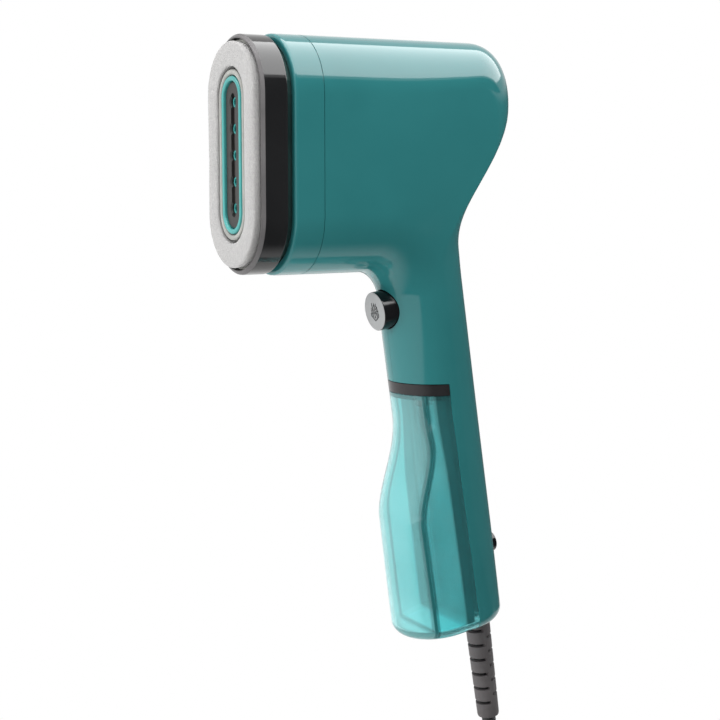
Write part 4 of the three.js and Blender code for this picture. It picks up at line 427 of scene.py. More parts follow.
def body_sections(inset):
    """Rows of oval sections from the seam to the foot. Each section runs between a front and a back
    point of the side view: two arcs of radius r = min(half width, half length), and flats between."""
    level = HEAD_FOOT - FILLET
    corner = np.array([(-GRIP_HALF - FILLET - level * sin(LEAN)) / cos(LEAN), level])
    nape = upright([GRIP_HALF, (46 - GRIP_HALF * sin(LEAN)) / cos(LEAN)])
    back = np.vstack([
        np.stack([np.linspace(SEAM_Y, 16.5, 60), np.full(60, HEAD_TOP)], 1),
        bezier((17.5, HEAD_TOP), (29.5, HEAD_TOP), (34.6, 120), (34.6, 108), 120),
        bezier((34.6, 108), (34.6, 90), nape + 25 * np.array([-sin(LEAN), cos(LEAN)]), nape, 160)[1:],
        [upright([GRIP_HALF, 0])],
    ])
    angles = np.arctan2(back[:, 1] - corner[1], back[:, 0] - corner[0])[::-1]
    share = np.linspace(0, 1, 97)
    angle = pi / 2 + (LEAN - pi / 2) * share
    ahead = np.stack([np.cos(angle), np.sin(angle)], 1)
    far = np.stack([np.interp(angle, angles, back[::-1, k]) for k in (0, 1)], 1)
    reach = ((far - corner) * ahead).sum(1)[:, None]
    start = SEAM_Y - (1 if inset else 0)
    seam = np.linspace(start, corner[0], 8)[:-1]
    fronts = [np.stack([seam, np.full(7, HEAD_FOOT)], 1), corner + FILLET * ahead]
    backs = [np.stack([seam, np.full(7, HEAD_TOP)], 1), corner + reach * ahead]
    halves = [np.full(7, HEAD_WIDTH / 2),
              (HEAD_WIDTH + (GRIP_WIDTH - HEAD_WIDTH) * smooth(share)) / 2]
    foot = -(HANDLE - END_ROUND)
    grip = np.array([(-GRIP_HALF, z) for z in (22, 16, 10, 5, 0, -6)])
    front = np.vstack([
        grip,
        bezier((-GRIP_HALF, BAND_TOP), (-GRIP_HALF, BAND_TOP - 8), (-18.5, -21), (-18.5, -27), 12),
        bezier((-18.5, -27), (-18.5, -43), (-31.5, -58), (-31.5, -70.5), 24)[1:],
        bezier((-31.5, -70.5), (-31.5, -78.5), (BELLY_Y, foot + 20), (BELLY_Y, foot), 24)[1:],
    ])
    down = smooth((front[:, 1] - BAND_TOP) / (foot - BAND_TOP))
    fronts.append(upright(front))
    backs.append(upright(np.stack([np.full(len(front), GRIP_HALF), front[:, 1]], 1)))
    halves.append((GRIP_WIDTH + (END_WIDTH - GRIP_WIDTH) * down) / 2)
    bend = np.radians(np.linspace(0, 90, 13))[1:]
    rounded, depth = END_ROUND * (1 - np.cos(bend)), (END_ROUND - inset) * np.sin(bend)
    fronts.append(upright(np.stack([BELLY_Y + rounded, foot - depth], 1)))
    backs.append(upright(np.stack([GRIP_HALF - rounded, foot - depth], 1)))
    halves.append(END_WIDTH / 2 - rounded)
    front, back, half_width = np.vstack(fronts), np.vstack(backs), np.concatenate(halves)
    length = np.linalg.norm(back - front, axis=1)
    along = (back - front) / length[:, None]
    middle = (front + back) / 2
    half = (length / 2 - inset)[:, None]
    width = (half_width - inset)[:, None]
    radius = np.minimum(width, half)
    turn = np.linspace(0, pi, 41)[None]
    level = np.linspace(1, -1, 9)[1:-1][None]
    straight = half - radius
    u = np.hstack([straight + radius * np.sin(turn), straight * level,
                   -straight - radius * np.sin(turn), -straight * level])
    x = np.hstack([width * np.cos(turn), -width + 0 * level, -width * np.cos(turn), width + 0 * level])
    return np.stack([x, middle[:, :1] + u * along[:, :1], middle[:, 1:] + u * along[:, 1:]], -1)


def body_solid(name, inset):
    """Closed solid over the body's sections."""
    return surface(name, body_sections(inset), caps=True)


BEYOND, ASIDE = 200, 60  # reach of the cutting tools in the side view, and across it


def prism(name, outline, low=-ASIDE, high=ASIDE, axis="x"):
    """Outline of two coordinates drawn out along the third, from low to high."""
    outline = np.asarray(outline, float)
    rows = [np.insert(outline, "xyz".index(axis), level, axis=1) for level in (low, high)]
    return surface(name, np.array(rows), caps=True)


def rectangle(left, right, first, last):
    """Corners of a rectangle in turn, from its first level to its last."""
    return [(left, first), (right, first), (right, last), (left, last)]


def lathe(name, line, at, axis="z", leaning=True, sides=64, caps=False):
    """Line of radius and distance along an axis, turned about it at a place."""
    line = np.asarray(line, float)
    turn = np.linspace(0, 2 * pi, sides, endpoint=False)
    a, b = line[:, :1] * np.cos(turn), line[:, :1] * np.sin(turn)
    c = np.broadcast_to(line[:, 1:], a.shape)
    order = {"x": (c, a, b), "y": (a, c, b), "z": (a, b, c)}[axis]
    points = np.stack(order, -1) + np.array(at, float)
    if leaning:
        points = upright(points)
    return surface(name, points, round_rows=not caps, caps=caps)


def rod(name, radius, low, high, at, axis="z", leaning=True, sides=64):
    """Plain round bar between two distances along an axis."""
    return lathe(name, [(radius, low), (radius, high)], at, axis, leaning, sides, caps=True)


def room(name, grow):
    """The tank's room from the side, grown: below the band's level and in front of the split."""
    level, split = BAND_TOP + grow, SPLIT_Y + grow
    low, high = ((split - z * sin(LEAN)) / cos(LEAN) for z in (-BEYOND, level))
    return prism(name, [(-BEYOND, -BEYOND), (low, -BEYOND), (high, level), (-BEYOND, level)])


def carve(obj, operation, *tools, drop=True):
    """Cuts, joins or intersects obj with each tool in turn, and keeps the result as its mesh."""
    for tool in tools:
        step = obj.modifiers.new("carve", "BOOLEAN")
        step.operation, step.solver, step.object = operation, "MANIFOLD", tool
        shaped = bpy.data.meshes.new_from_object(obj.evaluated_get(bpy.context.evaluated_depsgraph_get()))
        obj.modifiers.clear()
        obj.data = shaped
        if drop:
            bpy.data.objects.remove(tool)
    return obj


def copy_of(obj, name):
    """A second object with its own copy of the mesh."""
    twin = bpy.data.objects.new(name, obj.data.copy())
    scene.collection.objects.link(twin)
    return twin


def merged_node(node, name):
    """A copy of a CAD node with its loose triangles merged into one closed mesh."""
    twin = copy_of(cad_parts[node], name)
    work = bmesh.new()
    work.from_mesh(twin.data)
    bmesh.ops.remove_doubles(work, verts=work.verts, dist=2e-6)
    work.to_mesh(twin.data)
    work.free()
    twin.data.materials.clear()
    return twin


def keep(obj, material, sharp=32, weighted=True):
    """Smooth shading that breaks at edges over an angle, larger faces leading, and the finish."""
    obj.data.materials.clear()
    obj.data.materials.append(material)
    obj.data.shade_smooth()
    obj.data.set_sharp_from_angle(angle=radians(sharp))
    if weighted:
        obj.modifiers.new("weighted", "WEIGHTED_NORMAL").keep_sharp = True
    return obj


# Polished ABS: gloss that draws sharp reflections, with a barely visible flow of the melt.
teal = moulded("polished_teal_abs", "#296c6e", 0.08, ("#27696b", "#2b6f71"), (0.06, 0.1), 60, 6.0, 0.004,
               IOR=1.5)

# The outer 1.3 mm of each half is made here. What lies deeper than 1.2 mm is the CAD half's own shape.
outside = body_solid("outside", 0)
core = body_solid("core", 1.3)
inner_core = body_solid("inner_core", 1.2)
TRIGGER_Z, POWER_Z = 21.6, -93.0
SCREWS = {"crown": (19, 112.3), "brow": (-46, 121.3), "chin": (-46, 42.5),
          "grip": tuple(upright([11.5, 2])), "spine": tuple(upright([10.2, -62]))}

for side, half in ((1, "right"), (-1, "left")):
    shell = carve(copy_of(outside, f"housing_{half}"), "DIFFERENCE", core, drop=False)
    block = prism("block", rectangle(-BEYOND, BEYOND, -BEYOND, BEYOND), *sorted((side * 0.05, side * ASIDE)))
    carve(shell, "DIFFERENCE", room("room", 0))
    carve(shell, "INTERSECT", block)
    inner = carve(merged_node(f"{half}_housing", "inner"), "INTERSECT", inner_core, drop=False)
    carve(shell, "UNION", inner)
    tools = [rod("hole", 8.7, -26, -11, (0, 0, TRIGGER_Z), "y"),
             rod("hole", 5.0, 14.8, 21, (0, 0, POWER_Z), "y"),
             rod("hole", 5.4, -126, -119.2, (0, LEAD_Y, 0))]
    if side < 0:
        tools += [rod("hole", 3.2, -ASIDE, -8, (0, *at), "x", leaning=False) for at in SCREWS.values()]
    carve(shell, "DIFFERENCE", *tools)
    keep(shell, teal)
    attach(shell, "housing")
    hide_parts(f"{half}_housing")
for tool in (core, inner_core):
    bpy.data.objects.remove(tool)

# ---------------- front collar
# Separate teal ring in front of the seam, snapped on the housing. A front wall with a soft outer edge
# leaves the neck opening for the steam head's frame.


def oval(width, height, steps, flat):
    """Upright stadium in x and z about its own middle: two half circles and two straight sides."""
    radius, straight = width / 2, (height - width) / 2
    turn = np.linspace(0, pi, steps + 1)
    level = np.linspace(1, -1, flat + 2)[1:-1]
    side = np.full(flat, radius)
    x = np.concatenate([radius * np.cos(turn), -side, -radius * np.cos(turn), side])
    z = np.concatenate([straight + radius * np.sin(turn), straight * level,
                        -straight - radius * np.sin(turn), -straight * level])
    return np.stack([x, z], 1)


def oval_rows(width, height, line, taller=1.0, steps=36, flat=8):
    """A line of inset and y carried round an oval: each point is the oval set in by the inset, and by
    taller times the inset at its two ends."""
    rows = []
    for inset, y in line:
        at = oval(width - 2 * inset, height - 2 * inset * taller, steps, flat)
        rows.append(np.stack([at[:, 0], np.full(len(at), y), at[:, 1] + HEAD_MIDDLE], 1))
    return np.array(rows)


def oval_sweep(name, width, height, line, solid=False, taller=1.0):
    """Ring over a closed line, or a solid whose first and last oval are filled."""
    return surface(name, oval_rows(width, height, line, taller), round_rows=not solid, caps=solid)


def softened(line, radii, steps=5):
    """Closed line whose corners become arcs: each is replaced by a quadratic curve over its radius."""
    line = np.asarray(line, float)
    points = []
    for here, before, after, radius in zip(line, np.roll(line, 1, 0), np.roll(line, -1, 0), radii):
        if not radius:
            points.append(here[None])
            continue
        a = here + radius * (before - here) / np.linalg.norm(before - here)
        b = here + radius * (after - here) / np.linalg.norm(after - here)
        t = np.linspace(0, 1, steps + 1)[:, None]
        points.append((1 - t) ** 2 * a + 2 * t * (1 - t) * here + t ** 2 * b)
    return np.vstack(points)


collar_line = softened([(0, -63.45), (0, -76.3), (3.5, -76.3), (3.5, -74.1), (2.2, -74.1), (2.2, -63.45)],
                       [0.25, 1.5, 0.5, 0, 0, 0])
collar = oval_sweep("collar", HEAD_WIDTH, HEAD_TOP - HEAD_FOOT, collar_line)
keep(collar, teal)
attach(collar, "housing")
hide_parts("front_collar")

# ---------------- steam head: frame and bezel
# The frame is heat-resistant nylon and stays hidden but for its neck in the shadow gap. The bezel is
# one glossy black moulding, screwed to the frame; its chamfer round the front is satin, and its grey there is a
# painted reflection.
heat_nylon = moulded("heat_resistant_nylon", "#1c3a39", 0.4, ("#193432", "#21423f"), (0.34, 0.5), 18, 0.6, 0.03,
                     Specular_IOR_Level=0.4)
dress(heat_nylon, "head_frame")

gloss_black = moulded("polished_black_abs", "#1c1c1d", 0.1, ("#1a1a1b", "#1f1f20"),
                      (0.07, 0.12), 50, 5.0, 0.004, IOR=1.5)
BEZEL = (47.6, 94.7)
SCREW_RISE = 40.45  # of the two face screws, above and below the head's middle
CHAMFER_Y = -88.9  # where the chamfer begins


def screw_holes(radius, low, high, sides):
    """Bars for the two face screws' holes, between two places along y."""
    return [rod("hole", radius, low, high, (0, 0, HEAD_MIDDLE + s * SCREW_RISE), "y", False, sides) for s in (-1, 1)]


def paint(obj, material, where, lean=LEAN):
    """A second finish for the faces picked by the x, y and z of their centres, in millimetres, in a frame
    that leans by an angle."""
    centres = np.empty(len(obj.data.polygons) * 3)
    obj.data.polygons.foreach_get("center", centres)
    picked = where(*upright(centres.reshape(-1, 3) * 1000, -lean).T)
    obj.data.materials.append(material)
    obj.data.polygons.foreach_set("material_index", picked.astype(np.int32))


bezel_line = softened([(0, -78.9), (0, CHAMFER_Y), (1.2, -90.1), (1.7, -90.1), (1.7, -86.3), (15.4, -86.3),
                       (15.4, -84.1), (1.7, -84.1), (1.7, -78.9)], [0.8, 0.15, 0.15, 0.12, 0, 0, 0, 0, 0], 6)
bezel = oval_sweep("bezel", *BEZEL, bezel_line)
carve(bezel, "DIFFERENCE", *screw_holes(1.8, -92, -78, 32))
keep(bezel, gloss_black)
# The chamfer's grey is a painted reflection of a bright light in front; the moulding itself is black, satin on the
# chamfer.
chamfer_painted_reflection = moulded("satin_bezel_chamfer_painted_reflection", "#4c4a4b", 0.38, ("#464445", "#535152"),
                     (0.32, 0.46), 12, 0.6, 0.02, IOR=1.5)
paint(bezel, chamfer_painted_reflection, lambda x, y, z: y < CHAMFER_Y, lean=0)
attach(bezel, "housing")
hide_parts("head_bezel")

# ---------------- pad frame
# Thin grey backing of the fabric bonnet in flexible plastic. Its inner edge is a soft rolled hem that
# shows inside the pad's opening, and its outer edge a dark line inside the bezel.
hem = moulded("grey_flexible_hem", "#8b8c88", 0.6, ("#7f807c", "#989994"), (0.5, 0.75), 8, 0.8, 0.08,
              Sheen_Weight=0.2)
PAD_OUT = (43.4, 90.5)
END_BAND = 1.115  # how much wider the pad's band is at its two ends than along its sides
backing_line = softened([(0, -86.75), (0, -88.35), (10.5, -88.35), (10.5, -92.3), (12.35, -92.3), (12.35, -86.75)],
                        [0.2, 0.4, 0.2, 0.9, 0.9, 0.3])
backing = oval_sweep("bonnet_frame", *PAD_OUT, backing_line, taller=END_BAND)
carve(backing, "DIFFERENCE", *screw_holes(3.2, -91, -85, 40))
keep(backing, hem, 40)
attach(backing, "bonnet")
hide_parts("pad_frame")

# ---------------- fabric pad
# Removable bonnet of short-pile polyester plush, sewn round a foam ring and stretched on its frame.
# It is blown up a little by cloth simulation, so that the face crowns and both edges pull in.
PAD_FACE, PAD_BACK = -92.8, -88.6  # before it is blown up
PAD_BAND = 9.3  # from the outer edge to the opening's edge
PUFF = 0.0007  # how far the stuffing lifts it at most, in metres
pad_line = softened([(0.7, PAD_BACK), (0.25, PAD_FACE), (PAD_BAND - 0.1, PAD_FACE), (PAD_BAND - 0.3, PAD_BACK)],
                    [0.2, 1.1, 1.0, 0.2], 4)
# Each side of the line is parted into steps of about 0.75 mm.
after = np.roll(pad_line, -1, 0)
parts = np.maximum(1, np.rint(np.linalg.norm(after - pad_line, axis=1) / 0.75)).astype(int)
pad_line = np.vstack([a + (b - a) * (np.arange(n) / n)[:, None] for a, b, n in zip(pad_line, after, parts)])
pad_rows = oval_rows(PAD_OUT[0] - 0.6, PAD_OUT[1] - 0.6, pad_line, END_BAND, 64, 40)
pad = surface("bonnet_pad", pad_rows, round_rows=True)
still = pad_rows[..., 1].reshape(-1) > PAD_BACK - 0.5
flat_face = pad_rows.reshape(-1, 3) / 1000
pinned = pad.vertex_groups.new(name="sewn")
pinned.add(np.flatnonzero(still).tolist(), 1.0, "REPLACE")
cloth = pad.modifiers.new("stuffing", "CLOTH")
cloth.settings.use_pressure = True
cloth.settings.uniform_pressure_force = 6
cloth.settings.vertex_group_mass = "sewn"
cloth.settings.quality = 6
cloth.settings.mass = 0.02
cloth.settings.tension_stiffness = cloth.settings.compression_stiffness = 8
cloth.settings.effector_weights.gravity = 0
for number in range(1, 21):
    scene.frame_set(number)
blown = bpy.data.meshes.new_from_object(pad.evaluated_get(bpy.context.evaluated_depsgraph_get()))
moved = np.empty(len(blown.vertices) * 3)
blown.vertices.foreach_get("co", moved)
moved = moved.reshape(-1, 3) - flat_face
far = np.linalg.norm(moved, axis=1)[:, None]
moved *= np.minimum(1, PUFF / np.maximum(far, 1e-9))
blown.vertices.foreach_set("co", (flat_face + moved).ravel())
pad.modifiers.clear()
pad.vertex_groups.clear()
pad.data = blown
scene.frame_set(1)
pad.data.shade_smooth()
fine = pad.modifiers.new("fine", "SUBSURF")
fine.levels = fine.render_levels = 1

plush, tree, shader = finish("short_pile_polyester_plush", "#a3a2a1", 0.95, Sheen_Weight=0.35, Sheen_Roughness=0.5,
                             Specular_IOR_Level=0.15)
place = add(tree, "TexCoord").outputs["Object"]
# Tufts of pile stand about 0.7 mm apart; a coarser noise leans them in patches.
tuft = add(tree, "TexVoronoi", {"Vector": place, "Scale": 1000 / 0.7, "Randomness": 1.0}, feature="F1")
speck = add(tree, "TexNoise", {"Vector": place, "Scale": 1000 / 1.1, "Detail": 4.0, "Roughness": 0.75})
lean = add(tree, "TexNoise", {"Vector": place, "Scale": 1000 / 9.0, "Detail": 2.0})
share = add(tree, "MapRange", {"Value": speck.outputs[0], "From Min": 0.3, "From Max": 0.68})
tone = add(tree, "Mix", {0: share.outputs[0], 6: srgb("#929191"), 7: srgb("#a3a2a1")}, data_type="RGBA")
patch = add(tree, "MapRange",
            {"Value": lean.outputs[0], "From Min": 0.35, "From Max": 0.65, "To Min": 0.0, "To Max": 0.35})
tone = add(tree, "Mix", {0: patch.outputs[0], 6: tone.outputs[2], 7: srgb("#999897")}, data_type="RGBA")
tree.links.new(tone.outputs[2], shader.inputs["Base Color"])
pile = add(tree, "Math", {0: tuft.outputs["Distance"], 1: -0.8, 2: speck.outputs[0]}, operation="MULTIPLY_ADD")
bump = add(tree, "Bump", {"Height": pile.outputs[0], "Distance": 0.00035, "Strength": 0.7})
tree.links.new(bump.outputs[0], shader.inputs["Normal"])
pad.data.materials.append(plush)
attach(pad, "bonnet")
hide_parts("fabric_pad")

# ---------------- nozzle ring
# Oval teal moulding whose soft-edged rim frames the steam plate; five short tubes on its floor reach
# through the plate and bring the steam out.
bright_teal = moulded("teal_glass_filled_nylon", "#3b8e8b", 0.3, ("#368582", "#419693"),
                      (0.24, 0.36), 30, 0.8, 0.02, IOR=1.5)
RIM = (17.4, 62.1)
rim_line = softened([(0, -82.35), (0, -92.45), (2.0, -92.45), (2.0, -83.7), (5.5, -83.7), (5.5, -82.35)],
                    [0, 0.9, 0.9, 0, 0, 0], 6)
rim = oval_sweep("nozzle_rim", *RIM, rim_line)
flange = oval_sweep("flange", RIM[0] + 7, RIM[1] + 7, [(0, -83.78), (0, -82.32), (8.5, -82.32), (8.5, -83.78)])
floor_plate = oval_sweep("rim_floor", RIM[0] - 3.6, RIM[1] - 3.6, [(0, -83.75), (0, -82.35)], solid=True)
carve(rim, "UNION", flange, floor_plate)
HOLE_PITCH = 10.4
holes = [HEAD_MIDDLE + (i - 2) * HOLE_PITCH for i in range(5)]
for z in holes:
    carve(rim, "UNION", rod("tube", 2.1, -90.15, -82.4, (0, 0, z), "y", False, 40))
for z in holes:
    carve(rim, "DIFFERENCE", rod("bore", 1.4, -91, -81, (0, 0, z), "y", False, 32))
keep(rim, bright_teal, 35)
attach(rim, "housing")
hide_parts("nozzle_ring")

# ---------------- steam plate
# Dark strip of heat-resistant plastic clipped inside the rim, with a groove that links five holes.
plate_line = softened([(0, -84.15), (0, -91.35), (4.7, -91.35)], [0, 0.5, 0], 4)[:-1]
plate = oval_sweep("steam_strip", 12.8, 57.5, np.vstack([plate_line, (1.6, -91.35)]), solid=True)
groove = oval_sweep("groove", 3.4, 48.8, [(0, -93), (0, -90.15)], solid=True)
carve(plate, "DIFFERENCE", groove)
for z in holes:
    carve(plate, "DIFFERENCE", lathe("bore", [(2.9, -92), (2.9, -91.3), (2.4, -90.85), (2.4, -83)],
                                     (0, 0, z), "y", False, 48, caps=True))
strip_grey = moulded("grey_heat_resistant_plastic", "#2b2a29", 0.35, ("#262524", "#31302f"),
                     (0.28, 0.42), 14, 0.6, 0.03, IOR=1.5, Specular_IOR_Level=0.25)
keep(plate, strip_grey, 35)
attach(plate, "housing")
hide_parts("steam_plate")

# ---------------- steam trigger
# Round push button at the front of the grip: a gloss black skirt and a satin grey face with a thin
# bright edge, printed with a small steam symbol. A spring behind it pushes it out.
FACE = -23.4
skirt_black = moulded("gloss_black_button_skirt", "#141315", 0.12, ("#121113", "#181719"),
                      (0.09, 0.16), 20, 3.0, 0.004, IOR=1.5)
face_grey = moulded("satin_grey_button_face", "#8f9091", 0.42, ("#8a8b8c", "#959697"),
                    (0.38, 0.5), 12, 0.5, 0.02, IOR=1.5)
line = [(0.02, FACE + 0.12), (3.0, FACE + 0.1), (6.6, FACE + 0.04), (7.5, FACE + 0.02), (7.65, FACE),
        (7.95, FACE + 0.02), (8.15, FACE + 0.14), (8.26, FACE + 0.34), (8.3, FACE + 0.7), (8.3, -12.35),
        (9.6, -12.3), (9.6, -10.9), (6.6, -10.9), (6.6, -21.4), (2.2, -21.4), (2.2, -10.9), (0.02, -10.9)]
trigger = lathe("trigger_cap", line, (0, 0, TRIGGER_Z), "y", sides=96)
keep(trigger, skirt_black, 40)
paint(trigger, face_grey, lambda x, y, z: y < FACE + 0.11)
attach(trigger, "trigger")
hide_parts("trigger_button")

# The symbol is one print: three rising waves over the outline of an iron's sole.
print_ink = moulded("black_pad_print", "#2b2c2d", 0.5, ("#262728", "#313233"), (0.45, 0.6), 5, 0.3, 0.005)
INK = FACE - 0.02


def ribbon(points, width):
    """Flat strip along a line in x and z: the line shifted to both sides by half the width."""
    points = np.asarray(points, float)
    run = np.gradient(points, axis=0)
    run /= np.linalg.norm(run, axis=1)[:, None]
    aside = np.stack([-run[:, 1], run[:, 0]], 1) * width / 2
    rows = []
    for side, y in ((1, INK + 0.12), (1, INK), (-1, INK), (-1, INK + 0.12)):
        at = points + side * aside
        rows.append(np.stack([at[:, 0], np.full(len(at), y), at[:, 1]], 1))
    return np.array(rows)


rise = np.linspace(0, 1, 25)
strips = [np.stack([x + 0.35 * np.sin(2 * pi * rise), 0.5 + 3.0 * rise], 1) for x in (-1.6, 0, 1.6)]
sole = np.array([(-2.9, -0.9), (-2.9, -2.1), (0, -4.0), (2.9, -2.1), (2.9, -0.9), (0, -0.6), (-2.9, -0.9)])
strips.append(respaced(sole, 0.25))
waves = []
for count, points in enumerate(strips):
    rows = ribbon(points, 0.42) + (0, 0, TRIGGER_Z)
    waves.append(surface(f"steam_symbol_{count}", upright(rows).swapaxes(0, 1), caps=True))
carve(waves[0], "UNION", *waves[1:])
symbol = keep(waves[0], print_ink, 30, weighted=False)
symbol.name = "steam_symbol"
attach(symbol, "trigger")

# Coil spring of four turns in the trigger's well, at the length it has when the trigger is out.
COIL, WIRE = 5.4, 0.35  # radii of the coil's line and of its wire
turn = np.linspace(0, 4 * 2 * pi, 4 * 40 + 1)
coil = np.stack([COIL * np.cos(turn), np.linspace(-20.75, -8.66, len(turn)), TRIGGER_Z + COIL * np.sin(turn)], 1)
radial = np.stack([np.cos(turn), 0 * turn, np.sin(turn)], 1)
wind = np.linspace(0, 2 * pi, 10, endpoint=False)
section = coil[:, None] + WIRE * (np.cos(wind)[None, :, None] * radial[:, None]
                                  + np.sin(wind)[None, :, None] * np.array([0, 1, 0]))
spring = surface("return_spring", upright(section), caps=True)
spring_steel = moulded("zinc_plated_spring_steel", "#a9abad", 0.3, ("#a2a4a6", "#b3b5b7"),
                       (0.22, 0.38), 6, 0.4, 0.01, Metallic=1.0)
spring.data.materials.append(spring_steel)
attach(spring, "housing")
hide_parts("trigger_spring")
seat = upright([0, -8.0, TRIGGER_Z]) / 1000
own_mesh(spring)

# ---------------- tank lid
# Black band that closes the tank's top and is welded to both shells; the spigot and the filling plug
# come up through it.
ON_SPIGOT, ON_FILLER = (-7.5, -6.5, 0), (6.5, -8.2, 0)  # axes of the two
BAND_FOOT = -17.6  # the lid's underside; the shells begin 0.3 mm below it
TANK_GAP = -0.3  # how far the tank stays inside its room


def tank_holes():
    """Bars for the spigot's hole and the filling hole."""
    return [rod("hole", radius, -45, 0, at, sides=48) for radius, at in ((2.9, ON_SPIGOT), (4.2, ON_FILLER))]


above = prism("above", rectangle(-BEYOND, BEYOND, BAND_FOOT, BEYOND))
lid = carve(copy_of(outside, "tank_band"), "INTERSECT", room("room", TANK_GAP), above)
carve(lid, "DIFFERENCE", *tank_holes())
band_black = moulded("semi_gloss_black_abs", "#242324", 0.2, ("#201f20", "#2a292a"),
                     (0.16, 0.26), 16, 2.0, 0.01, IOR=1.5)
keep(lid, band_black, 30)
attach(lid, "tank")
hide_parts("tank_lid")

# ---------------- tank shells
# Two shells of clear teal SAN, 1.8 mm thick with a thick floor, welded along a line that follows the
# belly. The polish lets the spine behind and the water's empty room show through.
WELD_Y, WELD_STEP = -12.2, 10.0  # the weld's line above, and how far it comes forward lower down
WELD_HIGH, WELD_LOW = -36.0, -72.0  # between these levels
clear_teal, tree, shader = finish("clear_teal_san", "#8fe2e4", 0.04, IOR=1.5, Transmission_Weight=0.84)
place = add(tree, "TexCoord").outputs["Object"]
flow = add(tree, "TexNoise", {"Vector": place, "Scale": 1000 / 38, "Detail": 2.0})
share = add(tree, "MapRange", {"Value": flow.outputs[0], "From Min": 0.35, "From Max": 0.65})
# In front of the weld line the tones are paler and whiter than behind it: a painted reflection of the bright light
# in front.
rear, fore_painted_reflection = (add(tree, "Mix", {0: share.outputs[0], 6: srgb(low), 7: srgb(high)}, data_type="RGBA")
              for low, high in (("#84dde0", "#9be8ea"), ("#a6dcdd", "#b4e6e7")))
# The weld is a darker stripe 2 mm wide. The last 6 mm at the back, before the rear wall, are painted dark: painted
# shade where the rear wall is seen edge-on.
along = add(tree, "VectorMath", {0: place, 1: (0, cos(LEAN), sin(LEAN))}, operation="DOT_PRODUCT")
height = add(tree, "VectorMath", {0: place, 1: (0, -sin(LEAN), cos(LEAN))}, operation="DOT_PRODUCT")
line = add(tree, "MapRange", {"Value": height.outputs["Value"],
                              "From Min": WELD_LOW / 1000, "From Max": WELD_HIGH / 1000,
                              "To Min": (WELD_Y - WELD_STEP) / 1000, "To Max": WELD_Y / 1000},
           interpolation_type="SMOOTHSTEP")
behind = add(tree, "Math", {0: along.outputs["Value"], 1: line.outputs[0]}, operation="SUBTRACT")
half = add(tree, "MapRange", {"Value": behind.outputs[0], "From Min": -0.0003, "From Max": 0.0003})
tone = add(tree, "Mix", {0: half.outputs[0], 6: fore_painted_reflection.outputs[2], 7: rear.outputs[2]}, data_type="RGBA")
aside = add(tree, "Math", {0: behind.outputs[0]}, operation="ABSOLUTE")
stripe = add(tree, "MapRange", {"Value": aside.outputs[0], "From Min": 0.0008, "From Max": 0.0013,
                                "To Min": 1.0, "To Max": 0.0})
# Painted shade: the last 6 mm at the back are darkened, with the weld, towards one dark teal.
rim = add(tree, "MapRange",
          {"Value": along.outputs["Value"], "From Min": -0.0088, "From Max": -0.0082, "To Max": 0.9})
dark = add(tree, "Math", {0: stripe.outputs[0], 1: rim.outputs[0]}, operation="MAXIMUM")
tone = add(tree, "Mix", {0: dark.outputs[0], 6: tone.outputs[2], 7: srgb("#458688")}, data_type="RGBA")
tree.links.new(tone.outputs[2], shader.inputs["Base Color"])
haze = add(tree, "MapRange",
           {"Value": flow.outputs[0], "From Min": 0.3, "From Max": 0.7, "To Min": 0.03, "To Max": 0.09})
tree.links.new(haze.outputs[0], shader.inputs["Roughness"])
bump = add(tree, "Bump", {"Height": flow.outputs[0], "Distance": 0.0004, "Strength": 0.4})
tree.links.new(bump.outputs[0], shader.inputs["Normal"])

# Where the shells were melted together the plastic is dull and darker.
melted_teal = moulded("melted_teal_san", "#2c6e6f", 0.5, ("#286768", "#317677"), (0.42, 0.6), 10, 0.5, 0.03,
                      IOR=1.5)

TANK_TOP = -17.9
SPACE_TOP, SPACE_FLOOR, SPACE_BACK = -19.7, -119, SPLIT_Y - 2.1
below = prism("below", rectangle(-BEYOND, BEYOND, TANK_TOP, -BEYOND))
tank = carve(copy_of(outside, "tank"), "INTERSECT", room("room", TANK_GAP), below)
# The water's space has its own top, floor and back wall.
space = carve(body_solid("space", 1.8), "INTERSECT",
              prism("top", rectangle(-BEYOND, BEYOND, SPACE_TOP, -BEYOND)),
              prism("floor", upright(rectangle(-BEYOND, BEYOND, SPACE_FLOOR, BEYOND))),
              prism("back", upright(rectangle(-BEYOND, SPACE_BACK, -BEYOND, BEYOND))))
carve(tank, "DIFFERENCE", space, *tank_holes())
fall = np.linspace(0, 1, 25)
slope = np.stack([WELD_Y - WELD_STEP * smooth(fall), WELD_HIGH + (WELD_LOW - WELD_HIGH) * fall], 1)
weld = np.vstack([[(WELD_Y, 60)], slope, [(WELD_Y - WELD_STEP, -BEYOND)]])
for name, node, shift, far in (("tank_shell_front", "tank_front_shell", -0.06, -BEYOND),
                               ("tank_shell_rear", "tank_rear_shell", 0.06, BEYOND)):
    edge = weld + (shift, 0)
    outline = np.vstack([edge, [(far, edge[-1, 1]), (far, edge[0, 1])]])
    shell = carve(copy_of(tank, name), "INTERSECT", prism("side", upright(outline)))
    keep(shell, clear_teal, 30)
    paint(shell, melted_teal, lambda x, y, z: np.abs(np.interp(-z, -edge[:, 1], edge[:, 0]) - y) < 0.02)
    shell.visible_shadow = False
    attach(shell, "tank")
    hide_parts(node)
bpy.data.objects.remove(tank)
bpy.data.objects.remove(outside)

